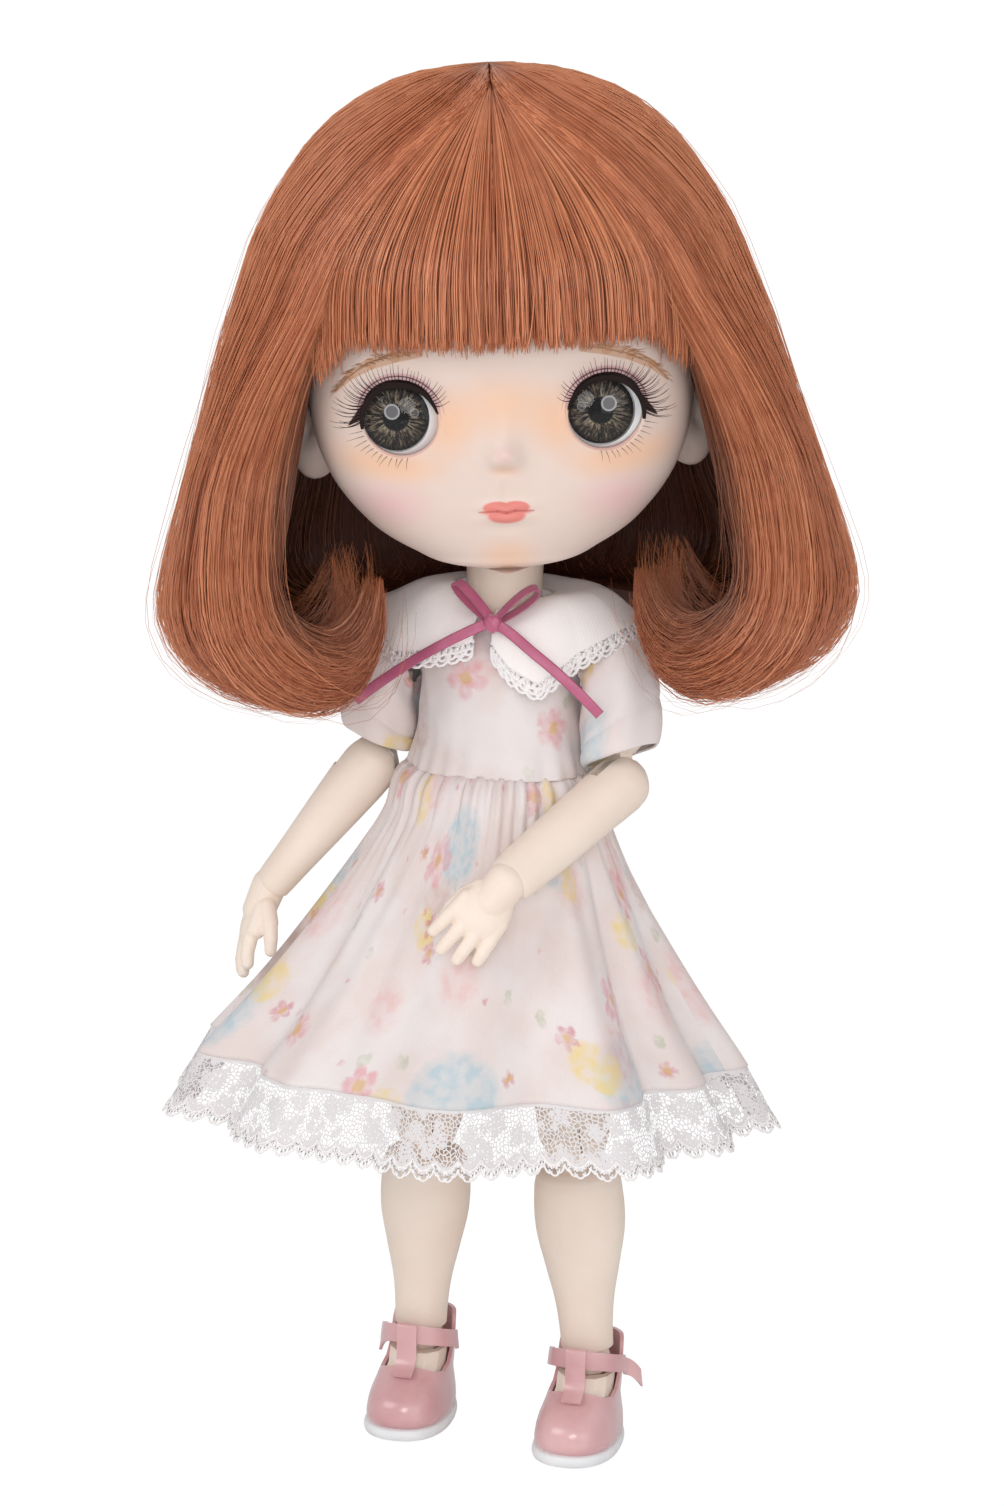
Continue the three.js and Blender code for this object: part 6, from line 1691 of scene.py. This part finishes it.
def lace_drop(angle):
    return skirt_length + lace_height - scallop_depth * (1 - np.abs(np.sin(scallop_count / 2 * angle)) ** 0.8)


def lace_shape(across, down):
    angle = across * 2 * math.pi
    start = skirt_length - 0.8
    return skirt_point(angle, start + (lace_drop(angle) - start) * down, 0.15)


def looped_thread(name, edge, away, pitch, reach, width, turn=0.0):
    """A thread that loops along an edge: away points out of the edge at each of its points."""
    step = np.linalg.norm(np.diff(edge, axis=0), axis=1)
    far = np.concatenate([[0], np.cumsum(step)])
    loops = max(int(far[-1] / pitch), 1)
    phase = np.linspace(0, loops * 2 * math.pi, loops * 11 + 1)
    along = phase / (2 * math.pi) * far[-1] / loops
    swing = along - 0.62 * 0.75 * pitch * np.sin(phase + turn)
    swing = np.clip(swing, 0, far[-1])
    path = np.stack([np.interp(swing, far, edge[:, k]) for k in range(3)], -1)
    out = np.stack([np.interp(swing, far, away[:, k]) for k in range(3)], -1)
    path += out * (reach * (1 - np.cos(phase + turn)) / 2)[:, None]
    across = np.cross(np.gradient(path, axis=0), out) + 1e-6
    return fibres(name, path[None], across[None], np.full((1, len(path)), width), around=5, seed=1)


lace = cloth("hem_lace", 1060, 16, lace_shape, (372, 12), wall=0, start=(0, 0))
finish_piece(lace, TRUNK, lace_threads, "trunk", "lace_hem")
angle = np.linspace(0, 2 * math.pi, 1761)
edge = skirt_point(angle, lace_drop(angle), 0.15)
above = skirt_point(angle, lace_drop(angle) - 2, 0.15)
down = (edge - above) / np.linalg.norm(edge - above, axis=1, keepdims=True)
picots = looped_thread("hem_picots", edge - down * 0.4, down, 1.8, 2.0, 0.52)
finish_piece(picots, TRUNK, picot_thread, "trunk", None)
cord_line = fibres("hem_gimp", (edge - down * 0.7)[None], down[None], np.full((1, len(edge)), 0.5), around=5)
finish_piece(cord_line, TRUNK, picot_thread, "trunk", None)

# ---------------------------------------------------------------------------
# Collar. Two pointed halves of plain white cotton, cut double, that fall from
# the neck over the shoulders, with a narrow looped lace sewn along the edge.
# ---------------------------------------------------------------------------
collar_neck_radius, collar_rise, collar_reach, collar_drop = 10.4, 58.8, 19, 13.4
collar_stand, collar_ridge = 4.6, {1: 0.3, -1: 0.1}
collar_rows = {
    1: [
        (0.04, 0.25, 0.42), (0.12, 0.38, 0.78), (0.21, 0.53, 1), (0.33, 0.66, 0.52), (0.44, 0.9, 0.19),
        (0.53, 1, 0.1), (0.64, 0.86, 0.2), (0.78, 0.7, 0.38), (0.96, 0.62, 0.46),
    ],
    -1: [
        (0.05, 0.24, 0.42), (0.16, 0.42, 0.56), (0.3, 0.74, 0.68), (0.38, 0.8, 0.36), (0.46, 0.94, 0.16),
        (0.53, 1, 0.1), (0.64, 0.86, 0.2), (0.78, 0.7, 0.38), (0.96, 0.62, 0.46),
    ],
}


def collar_point(side, across, down):
    rows = np.array(collar_rows[side])
    column = across * (len(rows) - 1)
    turn_share, reach, fall = [np.interp(column, np.arange(len(rows)), rows[:, k]) for k in range(3)]
    angle = turn_share * math.pi
    way = np.column_stack([side * np.sin(angle), -np.cos(angle), 0 * angle])
    neck = way * collar_neck_radius + (0, 0, collar_rise)
    edge = way * (collar_neck_radius + reach * collar_reach)[:, None]
    edge[:, 2] = collar_rise - fall * collar_drop
    knee = edge.copy()
    knee[:, 2] = neck[:, 2] + (edge[:, 2] - neck[:, 2]) * 0.05
    t = down[:, None]
    made = (1 - t) ** 2 * neck + 2 * t * (1 - t) * knee + t * t * edge
    made[:, 2] += 0.25 * np.sin(9 * angle + 3 * down) * down * (1 - down) + 0.6 * np.exp(-down / 0.12)
    ridge = np.exp(-(((down - collar_ridge[side]) / 0.34) ** 2))
    made[:, 2] += collar_stand * rise(turn_share, 0.08, 0.36) * ridge
    return made


for side, name in eye_names.items():
    collar = cloth(
        f"dress_collar_{name}", 120, 34, lambda across, down: collar_point(side, across, down), (46, 19),
        wall=0.7, start=(0, 0),
    )
    finish_piece(collar, TRUNK, plain_cloth, "trunk", f"collar_{name}")
    share = np.linspace(0.0, 1, 700)
    edge = collar_point(side, share, 0 * share + 1)
    away = edge - collar_point(side, share, 0 * share + 0.86)
    away /= np.linalg.norm(away, axis=1, keepdims=True)
    for step, (start, pitch, reach, width) in enumerate(
        ((-0.5, 2.6, 4.1, 0.8), (-0.4, 1.9, 3.0, 0.8), (-0.3, 1.3, 1.7, 0.85))
    ):
        line = looped_thread(f"collar_lace_{name}_{step}", edge + away * start, away, pitch, reach, width, step)
        finish_piece(line, TRUNK, picot_thread, "trunk", None)

# ---------------------------------------------------------------------------
# Ribbon. Dusty-rose satin, sold as 3 mm wide and 2.2 mm as it lies turned and
# pinched, tied in a bow at the throat: two narrow loops that stand up, a tight
# knot and two tails that fall over the collar.
# ---------------------------------------------------------------------------
ribbon_width, selvage_width = 2.2, 0.2
satin, tree, shader, place = finish(
    "satin", 0.34, Sheen_Weight=0.4, Anisotropic=0.5, Specular_IOR_Level=0.55
)
flat = node(tree, "UVMap").outputs[0]
split = node(tree, "SeparateXYZ", {0: flat}).outputs
ribs = calc(tree, "SINE", calc(tree, "MULTIPLY", split["X"], 2 * math.pi / 0.16))
cloudy = noise(tree, place, 350, 3)
tone = paint_over(tree, rgb(166, 76, 110), cloudy, rgb(196, 100, 134))
off_middle = calc(tree, "ABSOLUTE", calc(tree, "SUBTRACT", split["Y"], ribbon_width / 2))
selvage = calc(tree, "GREATER_THAN", off_middle, ribbon_width / 2 - selvage_width)
tone = paint_over(tree, tone, selvage, rgb(160, 68, 104), 0.7)
tree.links.new(tone, shader.inputs["Base Color"])
bump(tree, shader, calc(tree, "MULTIPLY_ADD", ribs, 0.3, cloudy), 0.25, 0.00006)

bow_place = np.array([2.6, -16.8, 57.8])
bow_loop_length, bow_knot_half, tail_length, tail_lift = 12.0, 2, 31, 2.3


def ribbon_strip(name, path, wide, columns, length, width=ribbon_width, wall=0.3):
    """A flat ribbon along a path, wide pointing across it."""
    def read(values, share):
        at = share * (len(path) - 1)
        return np.stack([np.interp(at, np.arange(len(path)), values[:, k]) for k in range(3)], -1)

    def shape(across, down):
        side = read(wide, across)
        side /= np.linalg.norm(side, axis=1, keepdims=True)
        cup = 0.12 * (2 * down - 1) ** 2
        return read(path, across) + side * ((0.5 - down) * width)[:, None] + (0, 1, 0) * cup[:, None]

    return cloth(name, columns, 8, shape, (length, width), wall=wall)


parts = []
for side in (1, -1):
    along = np.array([side * 0.74, 0.2, 0.64])
    along /= np.linalg.norm(along)
    across = np.array([0, -1, 0]) - along * -along[1]
    across /= np.linalg.norm(across)
    lift = np.cross(across, along)
    phase = np.linspace(0.06, 2 * math.pi - 0.06, 60)
    reach = bow_loop_length / 2 * (1 - np.cos(phase))
    bulge = 1.3 * np.sin(phase) * (1 - np.cos(phase) / 2)
    tip_up = side * 0.8 * lift + 0.6 * across
    path = bow_place + along * reach[:, None] + tip_up * bulge[:, None]
    path += across * (0.9 * np.sin(phase / 2) ** 2)[:, None]
    flat_way = 0.6 * lift - side * 0.8 * across
    parts.append(ribbon_strip(f"loop_{side}", path, flat_way + 0 * path, 90, 26))
knot = new_ball(40, 24)
spots = points_of(knot)
spots = np.sign(spots) * np.abs(spots) ** 0.8
wrap = 1 + 0.06 * np.sin(7 * spots[:, 0] + 5 * spots[:, 2])
move_to(knot, spots * (1.75, 1.5, 1.95) * wrap[:, None] + bow_place - (0, 0.3, 0))
parts.append(knot)
bow = join_parts(parts)
bow.name = "bow"
heal(bow, 60)
finish_piece(bow, TRUNK, satin, "trunk", "ribbon_bow")
for side, name in eye_names.items():
    share = np.linspace(0, 1, 60)
    across = side * tail_length * (0.74 if side > 0 else 0.88) * share
    drop = tail_length * ((0.38 if side > 0 else 0.42) * share + 0.16 * share ** 2)
    start = bow_place + (side * (bow_knot_half - 0.4), -bow_knot_half / 2, -0.2)
    path = start + np.column_stack([across, -tail_lift * rise(share, 0, 0.4), -drop])
    along = np.gradient(path, axis=0)
    face_out = np.column_stack([side * 0.12 * share, 0 * share - 1, 0 * share + 0.1 + 0.35 * np.sin(4 * share)])
    wide = np.cross(face_out, along)
    tail = ribbon_strip(f"bow_tail_{name}", path, wide, 110, tail_length * 1.05)
    finish_piece(tail, TRUNK, satin, "trunk", f"ribbon_tail_{name}")

# ---------------------------------------------------------------------------
# Shoes. Mary Janes of thin pearly pink imitation leather glued to a white foam
# sole: a round vamp, a high back, a bar up the middle and an ankle strap whose
# free end stands off a little.
# ---------------------------------------------------------------------------
ankle_height = 19
shoe_half_width, toe_reach, heel_reach, counter_height = 9.1, 20, 11.2, 23.5
upper_shares = [
    (0.108, 0.95, 0.955, 0.965), (0.14, 0.985, 0.985, 1.0), (0.24, 0.99, 0.985, 1.02), (0.36, 0.94, 0.93, 1),
    (0.47, 0.88, 0.77, 0.95), (0.56, 0.87, 0.56, 0.93), (0.7, 0.88, 0.47, 0.88), (0.86, 0.89, 0.44, 0.86),
    (1, 0.89, 0.43, 0.86),
]
upper_rows = [
    (h * counter_height, w * shoe_half_width, t * toe_reach, k * heel_reach) for h, w, t, k in upper_shares
]
sole_rows = [
    (0, 8.75, 19.6, 10.8), (0.15, 9.1, 20, 11.2), (0.5, 9.3, 20.3, 11.5), (2.2, 9.35, 20.4, 11.6),
    (2.5, 9.2, 20.2, 11.45), (2.62, 8.9, 19.8, 11.1),
]


def foot_loft(name, rows, inset=0.0, rings=72):
    """A shoe-shaped solid: rows of height, half width, toe reach and heel reach."""
    piece, level, sizes, sine, cosine, pole = levelled_ball(name, rows, 96, rings)
    width, toe, heel = sizes - inset
    power = 2 / 2.3
    y = (heel - toe) / 2 - np.sign(cosine) * np.abs(cosine) ** power * (heel + toe) / 2 * ~pole
    x = np.sign(sine) * np.abs(sine) ** power * width * ~pole
    back = np.clip((y + toe_reach) / (toe_reach + heel_reach), 0, 1)
    move_to(piece, np.column_stack([x * (1.07 - 0.22 * back), y, level - ankle_height]))
    return piece


pearl_leather, tree, shader, place = finish(
    "pearl_leather", 0.3, Coat_Weight=0.8, Coat_Roughness=0.15, Sheen_Weight=0.25, Specular_IOR_Level=0.55
)
tone = mottled(tree, place, 70, rgb(202, 148, 152), rgb(228, 182, 182))["Color"]
pearl = node(tree, "LayerWeight", {"Blend": 0.35}).outputs["Facing"]
tone = paint_over(tree, tone, pearl, rgb(186, 118, 128), 0.5)
tree.links.new(tone, shader.inputs["Base Color"])
grain = node(tree, "TexVoronoi", {"Vector": place, "Scale": 2200}, feature="DISTANCE_TO_EDGE").outputs[0]
bump(tree, shader, grain, 0.25, 0.00005)
white_foam, tree, shader, place = finish("white_foam", 0.6)
tone = mottled(tree, place, 200, rgb(228, 228, 230), rgb(238, 238, 240))["Color"]
tree.links.new(tone, shader.inputs["Base Color"])
bump(tree, shader, noise(tree, place, 3000), 0.3, 0.00005)

shoe_wall, strap_width, strap_wall, bar_width = 0.9, 4.0, 0.7, 4.4
insole_height, strap_drop = 3.7, 3.0
throat_line = [
    (-40, 40), (-40, 16.8), (-13, 15.8), (-10.6, 14.2), (-8, 12.7), (-5, 12.2), (-1.6, 13.2), (0.6, 15.4),
    (1.9, 18.4), (2.6, 21.0), (3.4, 22.6), (5, 23.5), (5.4, 40),
]
for side, name in eye_names.items():
    upper = foot_loft(f"shoe_leather_{name}", upper_rows, rings=96)
    room_rows = [(max(row[0], insole_height), *row[1:]) for row in upper_rows[:1] + upper_rows[2:]]
    room_rows.append((30, *room_rows[-1][1:]))
    cut_with(upper, foot_loft("room", room_rows, inset=shoe_wall))
    rings = [[(x, y, z - ankle_height) for y, z in throat_line] for x in (-20, 20)]
    cut_with(upper, closed_grid("throat", rings))
    finish_piece(heal(upper, 32), FOOT[side], pearl_leather, f"foot_{name}", f"shoe_upper_{name}")

    sole = foot_loft(f"shoe_foam_{name}", sole_rows, rings=48)
    cut_with(sole, block((-30, 1, -ankle_height - 5), (30, 5, 0.9 - ankle_height)))
    finish_piece(heal(sole, 40), FOOT[side], white_foam, f"foot_{name}", f"shoe_sole_{name}")

    rise_up = counter_height - 1.85 - 0.3 - ankle_height
    reach_side, reach_front = 0.86 * shoe_half_width + 0.45, 0.44 * toe_reach + 0.85
    angle = np.radians(np.linspace(-112, 112, 60))
    c, s = np.cos(angle), np.sin(angle)
    path = np.column_stack([
        reach_side * s, np.where(c > 0, -reach_front * c, -reach_front / 2 * c), rise_up - strap_drop * (1 - c)
    ])
    free = np.linspace(0, 1, 14)[1:, None]
    end = path[-1] if side > 0 else path[0]
    tab = end + free * (side * 3.4, 2.8, -1.0) + free ** 2 * (side * -0.4, 0.8, -2.6)
    path = np.concatenate([path, tab]) if side > 0 else np.concatenate([tab[::-1], path])
    lean = np.zeros_like(path) + (0, 0, 1)
    lean[:, 0] = -0.12 * np.sign(path[:, 0]) * np.abs(path[:, 0]) / 9
    strap = ribbon_strip(f"strap_{name}", path, lean, 150, 44, width=strap_width, wall=strap_wall)
    bar = np.array([
        (0, -reach_front - 0.1, rise_up + 2.2), (0, -reach_front - 0.75, rise_up + 1.9),
        (0, -reach_front - 0.85, rise_up), (0, -reach_front - 0.8, rise_up - 2.4),
        (0, -10.35, 16.4 - ankle_height), (0, -10.9, 14.9 - ankle_height), (0, -12.0, 13.75 - ankle_height),
        (0, -13.6, 12.75 - ankle_height),
    ])
    bar = between(np.column_stack([np.arange(len(bar)), bar]), np.linspace(0, len(bar) - 1, 50))
    wide = np.zeros_like(bar) + (1, 0, 0)
    wide *= (1 + 0.18 * rise(np.linspace(0, 1, 50), 0.5, 0.9))[:, None]
    tongue = ribbon_strip(f"bar_{name}", bar, wide, 60, 16, width=bar_width, wall=strap_wall)
    strap = join_parts([strap, tongue])
    finish_piece(heal(strap, 50), FOOT[side], pearl_leather, f"foot_{name}", f"shoe_strap_{name}")
